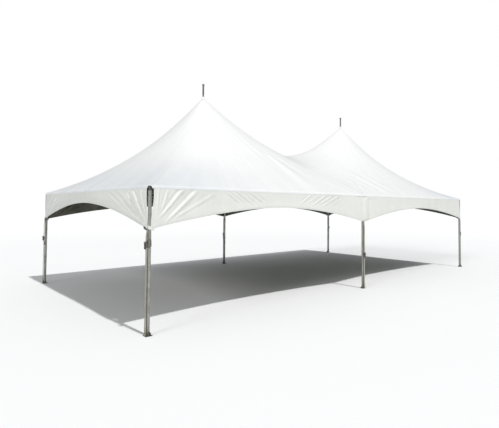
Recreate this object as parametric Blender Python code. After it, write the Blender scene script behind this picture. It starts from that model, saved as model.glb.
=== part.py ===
"""Two-peak high-peak frame marquee, 20 by 40 feet, on six legs.

Metres, +Z up. The origin is on the ground under the middle of the plan, +X runs along the
length and -Y is the front. Every piece is one closed solid.
"""
import math

import bmesh
import bpy
import numpy as np
from mathutils import Matrix, Vector

# Driving dimensions, plan and heights
BAY = 6.096
HALF_LENGTH = BAY
HALF_WIDTH = BAY / 2
EAVE_Z = 2.47
PEAK_Z = 5.04
MAST_TIP_Z = 5.47
GAP = 0.0003

# Frame tubes
LEG_RADIUS = 0.03175
RAIL_RADIUS = 0.0254
ARM_RADIUS = 0.029
ARM_REACH = 0.16
SOCKET_DROP = 0.15
RAIL_BELOW_EAVE = 0.0325
RAIL_Z = EAVE_Z - RAIL_BELOW_EAVE
SOCKET_TOP_INSET = 0.002
TUBE_SIDES = 20
RAIL_SIDES = 16

# Feet
FOOT_WIDTH = 0.120
FOOT_THICKNESS = 0.008
COLLAR_WALL = 0.0045
COLLAR_TOP_Z = 0.060
LUG_THICKNESS = 0.006
LUG_WIDTH = 0.056
LUG_TOP_Z = 0.085
TIE_RING_RADIUS = 0.027
TIE_RING_ROD = 0.006
TIE_RING_RISE = 0.030
TIE_RING_STEPS = 8
TIE_RING_SIDES = 6
WELD_SINK = 0.002

# Floating masts and the crossed cables that carry them
MAST_RADIUS = 0.0255
SPIKE_RADIUS = 0.024
TIP_CAP_RADIUS = 0.030
TIP_CAP_HEIGHT = 0.055
CUP_RADIUS = 0.055
CUP_Z = 2.29
CUP_HEIGHT = 0.10
TURNED_BEVEL = 0.008
SHOULDER_RADIUS = 0.040
SHOULDER_THICKNESS = 0.010
SHOULDER_TAPER = 0.03
CABLE_RADIUS = 0.005
CABLE_EYE_DROP = 0.095
CABLE_EYE_Z = RAIL_Z - CABLE_EYE_DROP
CABLE_SIDES = 8

# Cloth
CLOTH_THICKNESS = 0.004
CLOTH_CLEARANCE = 0.0004
EAVE_BAND = 0.05
VALANCE_INNER = LEG_RADIUS + CLOTH_CLEARANCE
VALANCE_OUTER = VALANCE_INNER + CLOTH_THICKNESS
VALANCE_LEG_Z = 1.745
SIDE_CREST_Z = 2.11
END_CREST_Z = 2.19
ARCH_POWER = 1.8
ARCH_COLUMNS = 24
SLIT_TOP = 0.055
SLIT_BOTTOM = 0.008

# The canopy is a net in balance: pulls along its strips, against 1 for a plain spoke
SPOKES_PER_SIDE = 10
RINGS = 12
PEAK_RING = 0.045
HOOP_PULL = 0.98
HIP_PULL = 2.08
RIDGE_PULL = 7.86
VALLEY_PULL = 0.88

# Tie-down straps, one down each leg, with a ratchet at the height where it was left
STRAP_WIDTH = 0.050
STRAP_THICKNESS = 0.004
STRAP_OUT = 0.050
STRAP_TOP_Z = 1.84
STRAP_BEND_Z = 1.70
STRAP_LEAN_HEIGHT = 0.08
RATCHET_WIDTH = 0.058
RATCHET_HEIGHT = 0.110
RATCHET_DEPTH = 0.026
RATCHET_DRUM_RADIUS = 0.015
RATCHET_DRUM_LENGTH = 0.070
RATCHET_DRUM_SIDES = 10
RATCHET_HANDLE_LENGTH = 0.105
RATCHET_HANDLE_DEPTH = 0.010
RATCHET_HANDLE_WIDTH = 0.050
RATCHET_HANDLE_SINK = 0.001
RATCHET_Z = {
    "front_left": 1.50,
    "front_middle": 0.90,
    "front_right": 1.20,
    "back_left": 1.25,
    "back_middle": 1.10,
    "back_right": 1.20,
}

# Where each leg stands, and how far its fittings are turned about the leg
LEG_PLACES = {
    "front_left": (-HALF_LENGTH, -HALF_WIDTH, 0),
    "front_middle": (0.0, -HALF_WIDTH, 0),
    "front_right": (HALF_LENGTH, -HALF_WIDTH, 90),
    "back_right": (HALF_LENGTH, HALF_WIDTH, 180),
    "back_middle": (0.0, HALF_WIDTH, 180),
    "back_left": (-HALF_LENGTH, HALF_WIDTH, 270),
}
# Which way is outward for the strap beside each leg, in degrees from +X
OUTWARD = {
    "front_left": 180,
    "front_middle": 270,
    "front_right": 0,
    "back_right": 0,
    "back_middle": 90,
    "back_left": 180,
}


def clear_scene():
    for old in list(bpy.data.objects):
        bpy.data.objects.remove(old, do_unlink=True)


def material(name, colour, roughness, metallic=0.0):
    made = bpy.data.materials.new(name)
    made.use_nodes = True
    shader = made.node_tree.nodes["Principled BSDF"]
    shader.inputs["Base Color"].default_value = (*colour, 1.0)
    shader.inputs["Roughness"].default_value = roughness
    shader.inputs["Metallic"].default_value = metallic
    return made


def add_object(name, mesh, finish, smooth_angle=math.radians(35)):
    """Puts a mesh in the scene under the piece's own name."""
    made = bpy.data.objects.new(name, mesh)
    bpy.context.scene.collection.objects.link(made)
    mesh.materials.clear()
    mesh.materials.append(finish)
    mesh.shade_smooth()
    mesh.set_sharp_from_angle(angle=smooth_angle)
    return made


def mesh_from(shape):
    mesh = bpy.data.meshes.new("shape")
    shape.normal_update()
    bmesh.ops.recalc_face_normals(shape, faces=shape.faces)
    shape.to_mesh(mesh)
    shape.free()
    return mesh


def rod(start, end, radius, sides):
    """A straight round bar between two points."""
    start = Vector(start)
    run = Vector(end) - start
    shape = bmesh.new()
    bmesh.ops.create_cone(shape, cap_ends=True, segments=sides,
                          radius1=radius, radius2=radius, depth=run.length)
    turn = Vector((0, 0, 1)).rotation_difference(run).to_matrix().to_4x4()
    shape.transform(Matrix.Translation(start + run / 2) @ turn)
    return mesh_from(shape)


def block(low, high):
    """A box between two corners."""
    low = Vector(low)
    high = Vector(high)
    shape = bmesh.new()
    bmesh.ops.create_cube(shape, size=1.0)
    size = high - low
    shape.transform(Matrix.Translation((low + high) / 2) @ Matrix.Diagonal((*size, 1.0)))
    return mesh_from(shape)


def turned(profile, sides, centre=(0.0, 0.0), closed_ring=False):
    """A turned solid: the profile's (radius, height) points go round the vertical through centre."""
    shape = bmesh.new()
    rings = []
    for radius, height in profile:
        if radius == 0:
            rings.append([shape.verts.new((centre[0], centre[1], height))])
            continue
        ring = []
        for k in range(sides):
            angle = 2 * math.pi * k / sides
            ring.append(shape.verts.new((centre[0] + radius * math.cos(angle),
                                         centre[1] + radius * math.sin(angle), height)))
        rings.append(ring)
    pairs = list(zip(rings[:-1], rings[1:]))
    if closed_ring:
        pairs.append((rings[-1], rings[0]))
    for below, above in pairs:
        for k in range(sides):
            n = (k + 1) % sides
            corners = [below[k % len(below)], below[n % len(below)],
                       above[n % len(above)], above[k % len(above)]]
            shape.faces.new(list(dict.fromkeys(corners)))
    return mesh_from(shape)


def fused(meshes):
    """One solid from several that run into each other."""
    parts = []
    for mesh in meshes:
        part = bpy.data.objects.new("part", mesh)
        bpy.context.scene.collection.objects.link(part)
        parts.append(part)
    for other in parts[1:]:
        union = parts[0].modifiers.new("union", "BOOLEAN")
        union.operation = "UNION"
        union.solver = "EXACT"
        union.object = other
    depsgraph = bpy.context.evaluated_depsgraph_get()
    result = bpy.data.meshes.new_from_object(parts[0].evaluated_get(depsgraph))
    for part in parts:
        bpy.data.objects.remove(part, do_unlink=True)
    return result


def legs(finish):
    """Six upright poles, each from its foot plate to the socket of its fitting."""
    bottom = FOOT_THICKNESS + GAP
    top = RAIL_Z - SOCKET_DROP - GAP
    shared = rod((0, 0, bottom), (0, 0, top), LEG_RADIUS, TUBE_SIDES)
    for place, (x, y, _) in LEG_PLACES.items():
        add_object("leg_" + place, shared, finish).location = (x, y, 0)


def foot_mesh(ring_side):
    """A square plate with a collar round the leg, a lug for the strap and a ring to tie down by."""
    half = FOOT_WIDTH / 2
    plate = block((-half, -half, 0), (half, half, FOOT_THICKNESS))
    inner = LEG_RADIUS + GAP
    outer = inner + COLLAR_WALL
    sunk = FOOT_THICKNESS - WELD_SINK
    collar = turned([(inner, sunk), (outer, sunk), (outer, COLLAR_TOP_Z), (inner, COLLAR_TOP_Z)],
                    TUBE_SIDES, closed_ring=True)
    lug_face = STRAP_OUT - STRAP_THICKNESS / 2 - GAP
    lug = block((lug_face - LUG_THICKNESS, -LUG_WIDTH / 2, sunk),
                (lug_face, LUG_WIDTH / 2, LUG_TOP_Z))
    return fused([plate, collar, lug, tie_ring_mesh(ring_side * (half - 2 * TIE_RING_ROD))])


def tie_ring_mesh(y):
    """A bent rod that stands on the plate: two short posts and a half circle."""
    shape = bmesh.new()
    sunk = FOOT_THICKNESS - WELD_SINK
    path = [(Vector((TIE_RING_RADIUS, y, sunk)), Vector((1, 0, 0)))]
    for j in range(TIE_RING_STEPS + 1):
        turn = math.pi * j / TIE_RING_STEPS
        out = Vector((math.cos(turn), 0, math.sin(turn)))
        path.append((Vector((0, y, sunk + TIE_RING_RISE)) + out * TIE_RING_RADIUS, out))
    path.append((Vector((-TIE_RING_RADIUS, y, sunk)), Vector((-1, 0, 0))))
    rings = []
    for middle, out in path:
        ring = []
        for k in range(TIE_RING_SIDES):
            roll = 2 * math.pi * k / TIE_RING_SIDES
            ring.append(shape.verts.new(middle + TIE_RING_ROD * (
                out * math.cos(roll) + Vector((0, 1, 0)) * math.sin(roll))))
        rings.append(ring)
    for lower, upper in zip(rings[:-1], rings[1:]):
        for k in range(TIE_RING_SIDES):
            n = (k + 1) % TIE_RING_SIDES
            shape.faces.new((lower[k], lower[n], upper[n], upper[k]))
    shape.faces.new(rings[0])
    shape.faces.new(rings[-1])
    return mesh_from(shape)


def feet(finish):
    """Each foot's lug faces outward; at the corners the ring is on the tent's long side."""
    kinds = {1: foot_mesh(1), -1: foot_mesh(-1)}
    for place, (x, y, _) in LEG_PLACES.items():
        ring_side = -1 if place in ("front_right", "back_left") else 1
        foot = add_object("foot_plate_" + place, kinds[ring_side], finish)
        foot.location = (x, y, 0)
        foot.rotation_euler = (0, 0, math.radians(OUTWARD[place]))


def fitting_mesh(arms):
    """A socket for the leg's top, with an arm towards each rail."""
    top = RAIL_Z + ARM_RADIUS - SOCKET_TOP_INSET
    pieces = [rod((0, 0, RAIL_Z - SOCKET_DROP), (0, 0, top), LEG_RADIUS, TUBE_SIDES)]
    for x, y in arms:
        pieces.append(rod((0, 0, RAIL_Z), (x * ARM_REACH, y * ARM_REACH, RAIL_Z),
                          ARM_RADIUS, RAIL_SIDES))
    return fused(pieces)


def fittings(finish):
    """Corner fittings hold two rails; the middle ones hold two rails and the crossbar."""
    corner = fitting_mesh([(1, 0), (0, 1)])
    tee = fitting_mesh([(1, 0), (-1, 0), (0, 1)])
    for place, (x, y, turn) in LEG_PLACES.items():
        kind = tee if place.endswith("middle") else corner
        name = "tee_fitting_" if place.endswith("middle") else "corner_fitting_"
        fitting = add_object(name + place, kind, finish)
        fitting.location = (x, y, 0)
        fitting.rotation_euler = (0, 0, math.radians(turn))


def eave_rails(finish):
    """Tubes between the fittings round the eave, and the bar across the middle."""
    trim = ARM_REACH + GAP
    for side, y in (("front", -HALF_WIDTH), ("back", HALF_WIDTH)):
        for half, sign in (("left", -1), ("right", 1)):
            ends = sorted((sign * trim, sign * (HALF_LENGTH - trim)))
            mesh = rod((ends[0], y, RAIL_Z), (ends[1], y, RAIL_Z), RAIL_RADIUS, RAIL_SIDES)
            add_object(f"eave_rail_{side}_{half}", mesh, finish)
    across = HALF_WIDTH - trim
    for name, x in (("eave_rail_left_end", -HALF_LENGTH), ("eave_rail_right_end", HALF_LENGTH),
                    ("crossbar_middle", 0.0)):
        mesh = rod((x, -across, RAIL_Z), (x, across, RAIL_Z), RAIL_RADIUS, RAIL_SIDES)
        add_object(name, mesh, finish)


def masts(finish):
    """Two masts that float on the cables: cup, pole, shoulder plate under the cloth, spike."""
    low = CUP_Z - CUP_HEIGHT / 2
    high = CUP_Z + CUP_HEIGHT / 2
    shoulder = PEAK_Z - GAP
    bevel = TURNED_BEVEL
    profile = [
        (0, low), (CUP_RADIUS - bevel, low), (CUP_RADIUS, low + bevel),
        (CUP_RADIUS, high - bevel), (CUP_RADIUS - bevel, high), (MAST_RADIUS, high),
        (MAST_RADIUS, shoulder - SHOULDER_THICKNESS - SHOULDER_TAPER),
        (SHOULDER_RADIUS, shoulder - SHOULDER_THICKNESS), (SHOULDER_RADIUS, shoulder),
        (SPIKE_RADIUS, shoulder), (SPIKE_RADIUS, MAST_TIP_Z - TIP_CAP_HEIGHT),
        (TIP_CAP_RADIUS, MAST_TIP_Z - TIP_CAP_HEIGHT), (TIP_CAP_RADIUS, MAST_TIP_Z - bevel),
        (TIP_CAP_RADIUS - bevel, MAST_TIP_Z), (0, MAST_TIP_Z),
    ]
    for half, x in (("left", -BAY / 2), ("right", BAY / 2)):
        add_object("mast_" + half, turned(profile, TUBE_SIDES, (x, 0.0)), finish)


def cables(finish):
    """From each mast cup a steel cable runs to each of the four fittings round its bay."""
    for half, x, ends in (("left", -BAY / 2, (-HALF_LENGTH, 0.0)),
                          ("right", BAY / 2, (0.0, HALF_LENGTH))):
        for end in ends:
            for side, y in (("front", -HALF_WIDTH), ("back", HALF_WIDTH)):
                start = Vector((x, 0, CUP_Z))
                finish_point = Vector((end, y, CABLE_EYE_Z))
                run = (finish_point - start).normalized()
                level = math.hypot(run.x, run.y)
                begin = start + run * ((CUP_RADIUS + 2 * GAP) / level)
                stop = finish_point - run * ((LEG_RADIUS + 2 * GAP) / level)
                outer = "outer" if abs(end) > BAY / 2 else "middle"
                add_object(f"cable_{half}_{side}_{outer}",
                           rod(begin, stop, CABLE_RADIUS, CABLE_SIDES), finish)


def canopy_net():
    """Positions and quads of the tensioned cloth.

    Each bay is a fan of spokes from its peak to the eave, tied by rings. Every point sits where
    the pulls of its strips balance, so the surface curves down between peak and eave.
    """
    sides = SPOKES_PER_SIDE
    spokes = 4 * sides
    edge_x = HALF_LENGTH + VALANCE_INNER
    edge_y = HALF_WIDTH + VALANCE_INNER
    points = []
    fixed = []
    valley = {}
    index = {}

    def place(point, is_fixed):
        points.append(point)
        fixed.append(is_fixed)
        return len(points) - 1

    for bay, (low_x, high_x) in enumerate(((-edge_x, 0.0), (0.0, edge_x))):
        centre = Vector((-BAY / 2 if bay == 0 else BAY / 2, 0.0))
        for k in range(spokes):
            side, step = divmod(k, sides)
            t = 2 * step / sides - 1
            u, v = ((t, -1), (1, t), (-t, 1), (-1, -t))[side]
            eave_point = Vector(((high_x if u > 0 else low_x) * abs(u) + centre.x * (1 - abs(u)),
                                 edge_y * v))
            angle = math.atan2(v, u)
            peak_point = centre + Vector((math.cos(angle), math.sin(angle))) * PEAK_RING
            for ring in range(RINGS + 1):
                share = ring / RINGS
                level = peak_point.lerp(eave_point, share)
                height = PEAK_Z + (EAVE_Z - PEAK_Z) * share
                if ring < RINGS:
                    index[bay, ring, k] = place((level.x, level.y, height), ring == 0)
                    continue
                on_valley = abs(level.x) < 1e-6
                key = round(level.y, 4)
                if on_valley and key in valley:
                    index[bay, ring, k] = valley[key]
                    continue
                at_leg = abs(abs(level.y) - edge_y) < 1e-6
                index[bay, ring, k] = place((level.x, level.y, height), at_leg or not on_valley)
                if on_valley:
                    valley[key] = index[bay, ring, k]

    strips = []
    for bay in (0, 1):
        ridge = sides + sides // 2 if bay == 0 else 3 * sides + sides // 2
        for k in range(spokes):
            pull = 1.0 + (HIP_PULL if k % sides == 0 else 0) + (RIDGE_PULL if k == ridge else 0)
            for ring in range(RINGS):
                strips.append((index[bay, ring, k], index[bay, ring + 1, k], pull))
            for ring in range(1, RINGS):
                strips.append((index[bay, ring, k], index[bay, ring, (k + 1) % spokes], HOOP_PULL))
    along = [valley[key] for key in sorted(valley)]
    strips += [(a, b, VALLEY_PULL) for a, b in zip(along[:-1], along[1:])]

    points = np.array(points)
    balance = np.zeros((len(points), len(points)))
    for a, b, pull in strips:
        balance[a, a] += pull
        balance[b, b] += pull
        balance[a, b] -= pull
        balance[b, a] -= pull
    held = np.array(fixed)
    free = ~held
    load = -balance[np.ix_(free, held)] @ points[held]
    points[free] = np.linalg.solve(balance[np.ix_(free, free)], load)

    quads = []
    for bay in (0, 1):
        for k in range(spokes):
            n = (k + 1) % spokes
            for ring in range(RINGS):
                quads.append((index[bay, ring, k], index[bay, ring + 1, k],
                              index[bay, ring + 1, n], index[bay, ring, n]))
    peaks = [[index[bay, 0, k] for k in range(spokes)] for bay in (0, 1)]
    eave = [index[0, RINGS, k % spokes] for k in range(2 * sides, 5 * sides)]
    eave += [index[1, RINGS, k] for k in range(0, 3 * sides)]
    return points, quads, peaks, eave


def canopy(finish):
    """The roof cloth, with a band that turns down over the rails all round the eave.

    A small flat ring at each peak sits on the mast's shoulder.
    """
    points, quads, peaks, eave = canopy_net()
    shape = bmesh.new()
    verts = [shape.verts.new(point) for point in points]
    for quad in quads:
        shape.faces.new([verts[i] for i in quad])
    for ring in peaks:
        centre = sum((verts[i].co for i in ring), Vector()) / len(ring)
        hole = SPIKE_RADIUS + 2 * GAP
        inner = [shape.verts.new(centre + (verts[i].co - centre).normalized() * hole)
                 for i in ring]
        for k in range(len(ring)):
            n = (k + 1) % len(ring)
            shape.faces.new((inner[k], verts[ring[k]], verts[ring[n]], inner[n]))
    drop = Vector((0, 0, EAVE_BAND))
    hem = [shape.verts.new(verts[i].co - drop) for i in eave]
    for k in range(len(eave)):
        n = (k + 1) % len(eave)
        shape.faces.new((verts[eave[k]], hem[k], hem[n], verts[eave[n]]))
    mesh = bpy.data.meshes.new("canopy")
    shape.to_mesh(mesh)
    shape.free()
    roof = add_object("canopy", mesh, finish)
    wall = roof.modifiers.new("thickness", "SOLIDIFY")
    wall.thickness = CLOTH_THICKNESS
    wall.offset = 1.0
    wall.use_even_offset = True


def valance(name, start, end, crest_z, slit_start, slit_end, outward, finish):
    """A cloth skirt that hangs from the eave band between two legs, its lower edge an arch.

    start and end are the legs' axes in plan; a slit keeps the cloth clear of a corner leg, and is
    wider at the top than at the bottom.
    """
    start = Vector((*start, 0))
    end = Vector((*end, 0))
    along = (end - start).normalized()
    out = Vector((*outward, 0)) * VALANCE_INNER
    seam = GAP
    top_start = start + along * (SLIT_TOP if slit_start else seam)
    top_end = end - along * (SLIT_TOP if slit_end else seam)
    low_start = start + along * (SLIT_BOTTOM if slit_start else seam)
    low_end = end - along * (SLIT_BOTTOM if slit_end else seam)
    shape = bmesh.new()
    previous = None
    for i in range(ARCH_COLUMNS + 1):
        s = i / ARCH_COLUMNS
        high = top_start.lerp(top_end, s) + out
        low = low_start.lerp(low_end, s) + out
        high.z = EAVE_Z - EAVE_BAND - GAP
        low.z = crest_z - (crest_z - VALANCE_LEG_Z) * abs(2 * s - 1) ** ARCH_POWER
        column = (shape.verts.new(low), shape.verts.new(high))
        if previous:
            shape.faces.new((previous[0], column[0], column[1], previous[1]))
        previous = column
    shape.normal_update()
    if shape.faces[:][0].normal.dot(out) < 0:
        bmesh.ops.reverse_faces(shape, faces=shape.faces)
    mesh = bpy.data.meshes.new(name)
    shape.to_mesh(mesh)
    shape.free()
    skirt = add_object(name, mesh, finish)
    wall = skirt.modifiers.new("thickness", "SOLIDIFY")
    wall.thickness = CLOTH_THICKNESS
    wall.offset = 1.0


def valances(finish):
    left, right = -HALF_LENGTH, HALF_LENGTH
    front, back = -HALF_WIDTH, HALF_WIDTH
    for side, y, out in (("front", front, (0, -1)), ("back", back, (0, 1))):
        valance(f"valance_{side}_left", (left, y), (0, y), SIDE_CREST_Z, True, False, out, finish)
        valance(f"valance_{side}_right", (0, y), (right, y), SIDE_CREST_Z, False, True, out, finish)
    for side, x, out in (("left", left, (-1, 0)), ("right", right, (1, 0))):
        valance(f"valance_{side}_end", (x, front), (x, back), END_CREST_Z, True, True, out, finish)


def strap_mesh(ratchet_z):
    """Webbing from the valance's lower tip to the foot's lug, with the ratchet that pulls it."""
    on_cloth = VALANCE_OUTER + GAP + STRAP_THICKNESS / 2
    path = [(on_cloth, STRAP_TOP_Z), (on_cloth, STRAP_BEND_Z), (STRAP_OUT, STRAP_BEND_Z - STRAP_LEAN_HEIGHT),
            (STRAP_OUT, FOOT_THICKNESS + GAP)]
    half = STRAP_WIDTH / 2
    shape = bmesh.new()
    rows = []
    for out, z in path:
        rows.append([shape.verts.new((out + side * STRAP_THICKNESS / 2, y, z))
                     for side, y in ((-1, -half), (1, -half), (1, half), (-1, half))])
    for upper, lower in zip(rows[:-1], rows[1:]):
        for k in range(4):
            n = (k + 1) % 4
            shape.faces.new((upper[k], upper[n], lower[n], lower[k]))
    shape.faces.new(rows[0])
    shape.faces.new(rows[-1])
    return fused([mesh_from(shape)] + ratchet_meshes(ratchet_z))


def ratchet_meshes(z):
    """The ratchet's frame over the webbing, the drum across it, and the handle folded down."""
    inside = STRAP_OUT - RATCHET_DEPTH / 3
    face = inside + RATCHET_DEPTH
    half = RATCHET_WIDTH / 2
    frame = block((inside, -half, z - RATCHET_HEIGHT / 2), (face, half, z + RATCHET_HEIGHT / 2))
    drum_z = z + RATCHET_HEIGHT / 2 - 2 * RATCHET_DRUM_RADIUS
    drum = rod((face, -RATCHET_DRUM_LENGTH / 2, drum_z), (face, RATCHET_DRUM_LENGTH / 2, drum_z),
               RATCHET_DRUM_RADIUS, RATCHET_DRUM_SIDES)
    grip = RATCHET_HANDLE_WIDTH / 2
    sink = RATCHET_HANDLE_SINK
    handle = block((face - sink, -grip, drum_z - RATCHET_HANDLE_LENGTH),
                   (face + RATCHET_HANDLE_DEPTH, grip, drum_z - sink))
    return [frame, drum, handle]


def straps(finish):
    for place, (x, y, _) in LEG_PLACES.items():
        strap = add_object("leg_strap_" + place, strap_mesh(RATCHET_Z[place]), finish)
        strap.location = (x, y, 0)
        strap.rotation_euler = (0, 0, math.radians(OUTWARD[place]))


def main():
    clear_scene()
    tube = material("frame_tube", (0.55, 0.55, 0.52), 0.42, 0.85)
    casting = material("fitting_metal", (0.22, 0.22, 0.21), 0.5, 0.8)
    plate = material("foot_steel", (0.20, 0.20, 0.18), 0.6, 0.7)
    wire = material("cable_steel", (0.45, 0.45, 0.45), 0.4, 1.0)
    vinyl = material("roof_vinyl", (0.88, 0.89, 0.89), 0.35)
    skirt = material("valance_vinyl", (0.84, 0.85, 0.82), 0.4)
    webbing = material("strap_webbing", (0.32, 0.32, 0.30), 0.8)
    legs(tube)
    feet(plate)
    fittings(casting)
    eave_rails(tube)
    masts(tube)
    cables(wire)
    canopy(vinyl)
    valances(skirt)
    straps(webbing)


main()
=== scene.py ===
"""Looks of the two-peak frame marquee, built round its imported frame.

Metres, +Z up. The origin is on the ground under the middle of the plan, +X runs along the length
and -Y is the front. Nothing on this marquee moves, so every piece rides on "root".
"""
import math
import random

import bmesh
import bpy
import numpy as np
from mathutils import Matrix, Vector


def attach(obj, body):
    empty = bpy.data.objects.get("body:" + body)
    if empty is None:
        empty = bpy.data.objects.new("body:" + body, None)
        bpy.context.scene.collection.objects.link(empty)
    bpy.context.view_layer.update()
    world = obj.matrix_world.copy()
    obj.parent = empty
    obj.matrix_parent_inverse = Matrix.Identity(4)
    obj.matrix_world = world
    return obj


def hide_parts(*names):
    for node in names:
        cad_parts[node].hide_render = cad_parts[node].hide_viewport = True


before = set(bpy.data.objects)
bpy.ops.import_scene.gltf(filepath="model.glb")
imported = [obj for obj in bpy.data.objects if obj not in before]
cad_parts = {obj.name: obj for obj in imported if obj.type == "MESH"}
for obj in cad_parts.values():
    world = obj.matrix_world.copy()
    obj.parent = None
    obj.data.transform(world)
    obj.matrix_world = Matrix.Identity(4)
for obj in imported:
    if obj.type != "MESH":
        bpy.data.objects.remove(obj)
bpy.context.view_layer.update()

# Dimensions of the frame, as its solids have them
BAY = 6.096
HALF_LENGTH = BAY
HALF_WIDTH = BAY / 2
EAVE_Z = 2.47
PEAK_Z = 5.04
MAST_TIP_Z = 5.47
LEG_RADIUS = 0.03175
RAIL_RADIUS = 0.0254
ARM_RADIUS = 0.029
ARM_REACH = 0.16
SOCKET_DROP = 0.15
RAIL_Z = EAVE_Z - 0.0325
FOOT_WIDTH = 0.120
FOOT_THICKNESS = 0.008
COLLAR_TOP_Z = 0.060
TIE_RING_RADIUS = 0.027
TIE_RING_ROD = 0.006
MAST_RADIUS = 0.0255
SPIKE_RADIUS = 0.024
TIP_CAP_RADIUS = 0.030
CUP_RADIUS = 0.055
CUP_Z = 2.29
CUP_HEIGHT = 0.10
CABLE_EYE_Z = RAIL_Z - 0.095
EAVE_BAND = 0.05
CLOTH_IN = 0.03215
CLOTH_OUT = 0.03615
VALANCE_LEG_Z = 1.745
SIDE_CREST_Z = 2.11
END_CREST_Z = 2.19
ARCH_POWER = 1.8
SLIT_TOP = 0.055
SLIT_BOTTOM = 0.008
STRAP_OUT = 0.050
STRAP_WIDTH = 0.050
RATCHET_Z = {
    "front_left": 1.50,
    "front_middle": 0.90,
    "front_right": 1.20,
    "back_left": 1.25,
    "back_middle": 1.10,
    "back_right": 1.20,
}
LEG_PLACES = {
    "front_left": (-HALF_LENGTH, -HALF_WIDTH, 0),
    "front_middle": (0.0, -HALF_WIDTH, 0),
    "front_right": (HALF_LENGTH, -HALF_WIDTH, 90),
    "back_right": (HALF_LENGTH, HALF_WIDTH, 180),
    "back_middle": (0.0, HALF_WIDTH, 180),
    "back_left": (-HALF_LENGTH, HALF_WIDTH, 270),
}
OUTWARD = {
    "front_left": 180,
    "front_middle": 270,
    "front_right": 0,
    "back_right": 0,
    "back_middle": 90,
    "back_left": 180,
}
UP = Vector((0, 0, 1))


# Shapes


class Stock:
    """Closed shapes that are gathered and then made into one mesh. Each point may have a run
    coordinate, which is its place across and along a cloth or a web, in metres."""

    def __init__(self):
        self.points = []
        self.faces = []
        self.runs = []

    def add(self, points, faces, runs=None, place=None):
        start = len(self.points)
        self.points += [place @ Vector(p) if place else Vector(p) for p in points]
        self.faces += [[start + i for i in face] for face in faces]
        self.runs += list(runs) if runs else [(0.0, 0.0)] * len(points)
        return self

    def join(self, other, place=None):
        return self.add(other.points, other.faces, other.runs, place)

    def mesh(self, name):
        made = bpy.data.meshes.new(name)
        made.from_pydata([tuple(p) for p in self.points], [], self.faces)
        runs = made.uv_layers.new(name="run")
        corner_point = np.zeros(len(made.loops), dtype=np.int32)
        made.loops.foreach_get("vertex_index", corner_point)
        runs.data.foreach_set("uv", np.array(self.runs)[corner_point].ravel())
        shape = bmesh.new()
        shape.from_mesh(made)
        shape.normal_update()
        bmesh.ops.recalc_face_normals(shape, faces=shape.faces)
        shape.to_mesh(made)
        shape.free()
        return made


def stock_of(shape):
    """Takes a bmesh's points and faces and frees it."""
    shape.verts.index_update()
    made = Stock().add([v.co.copy() for v in shape.verts],
                       [[v.index for v in face.verts] for face in shape.faces])
    shape.free()
    return made


def eased(shape, width, steps=2):
    """Rounds every edge of a bmesh that turns by more than 30 degrees."""
    if width:
        shape.normal_update()
        sharp = [e for e in shape.edges if e.calc_face_angle(0) > math.radians(30)]
        bmesh.ops.bevel(shape, geom=sharp, offset=width, segments=steps, affect="EDGES",
                        profile=0.5)
    return shape


def bar(low, high, edge=0.0, steps=2):
    """A straight-sided bar between two corners, with eased edges."""
    low = Vector(low)
    high = Vector(high)
    shape = bmesh.new()
    bmesh.ops.create_cube(shape, size=1.0)
    shape.transform(Matrix.Translation((low + high) / 2)
                    @ Matrix.Diagonal((*(high - low), 1.0)))
    return stock_of(eased(shape, edge, steps))


def plate(outline, thickness, edge=0.0):
    """A flat plate in the XY plane, centred on it, from the outline's points."""
    shape = bmesh.new()
    base = shape.faces.new([shape.verts.new((x, y, -thickness / 2)) for x, y in outline])
    grown = bmesh.ops.extrude_face_region(shape, geom=[base])["geom"]
    top = [g for g in grown if isinstance(g, bmesh.types.BMVert)]
    bmesh.ops.translate(shape, verts=top, vec=(0, 0, thickness))
    bmesh.ops.recalc_face_normals(shape, faces=shape.faces)
    return stock_of(eased(shape, edge))


def lathe(profile, sides=32, hollow=False):
    """A turned shape about Z. A hollow one joins its last ring to its first."""
    made = Stock()
    points = []
    rings = []
    for radius, height in profile:
        count = 1 if radius == 0 else sides
        rings.append([len(points) + k for k in range(count)])
        for k in range(count):
            turn = 2 * math.pi * k / sides
            points.append((radius * math.cos(turn), radius * math.sin(turn), height))
    pairs = list(zip(rings[:-1], rings[1:]))
    if hollow:
        pairs.append((rings[-1], rings[0]))
    faces = []
    for below, above in pairs:
        for k in range(sides):
            n = (k + 1) % sides
            corners = [below[k % len(below)], below[n % len(below)],
                       above[n % len(above)], above[k % len(above)]]
            faces.append(list(dict.fromkeys(corners)))
    return made.add(points, faces)


def round_section(radius, sides=10):
    return [(radius * math.cos(2 * math.pi * k / sides), radius * math.sin(2 * math.pi * k / sides))
            for k in range(sides)]


def band_section(width, thickness, strips=4):
    """A flat band's section with rounded sides, in several strips so that it can cup."""
    half = width / 2
    edge = thickness / 2
    over = [(-half + width * k / strips, edge) for k in range(1, strips)]
    return ([(-half, -edge * 0.5), (-half, edge * 0.5), (-half + edge, edge)] + over
            + [(half - edge, edge), (half, edge * 0.5), (half, -edge * 0.5), (half - edge, -edge)]
            + [(a, -b) for a, b in reversed(over)] + [(-half + edge, -edge)])


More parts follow.
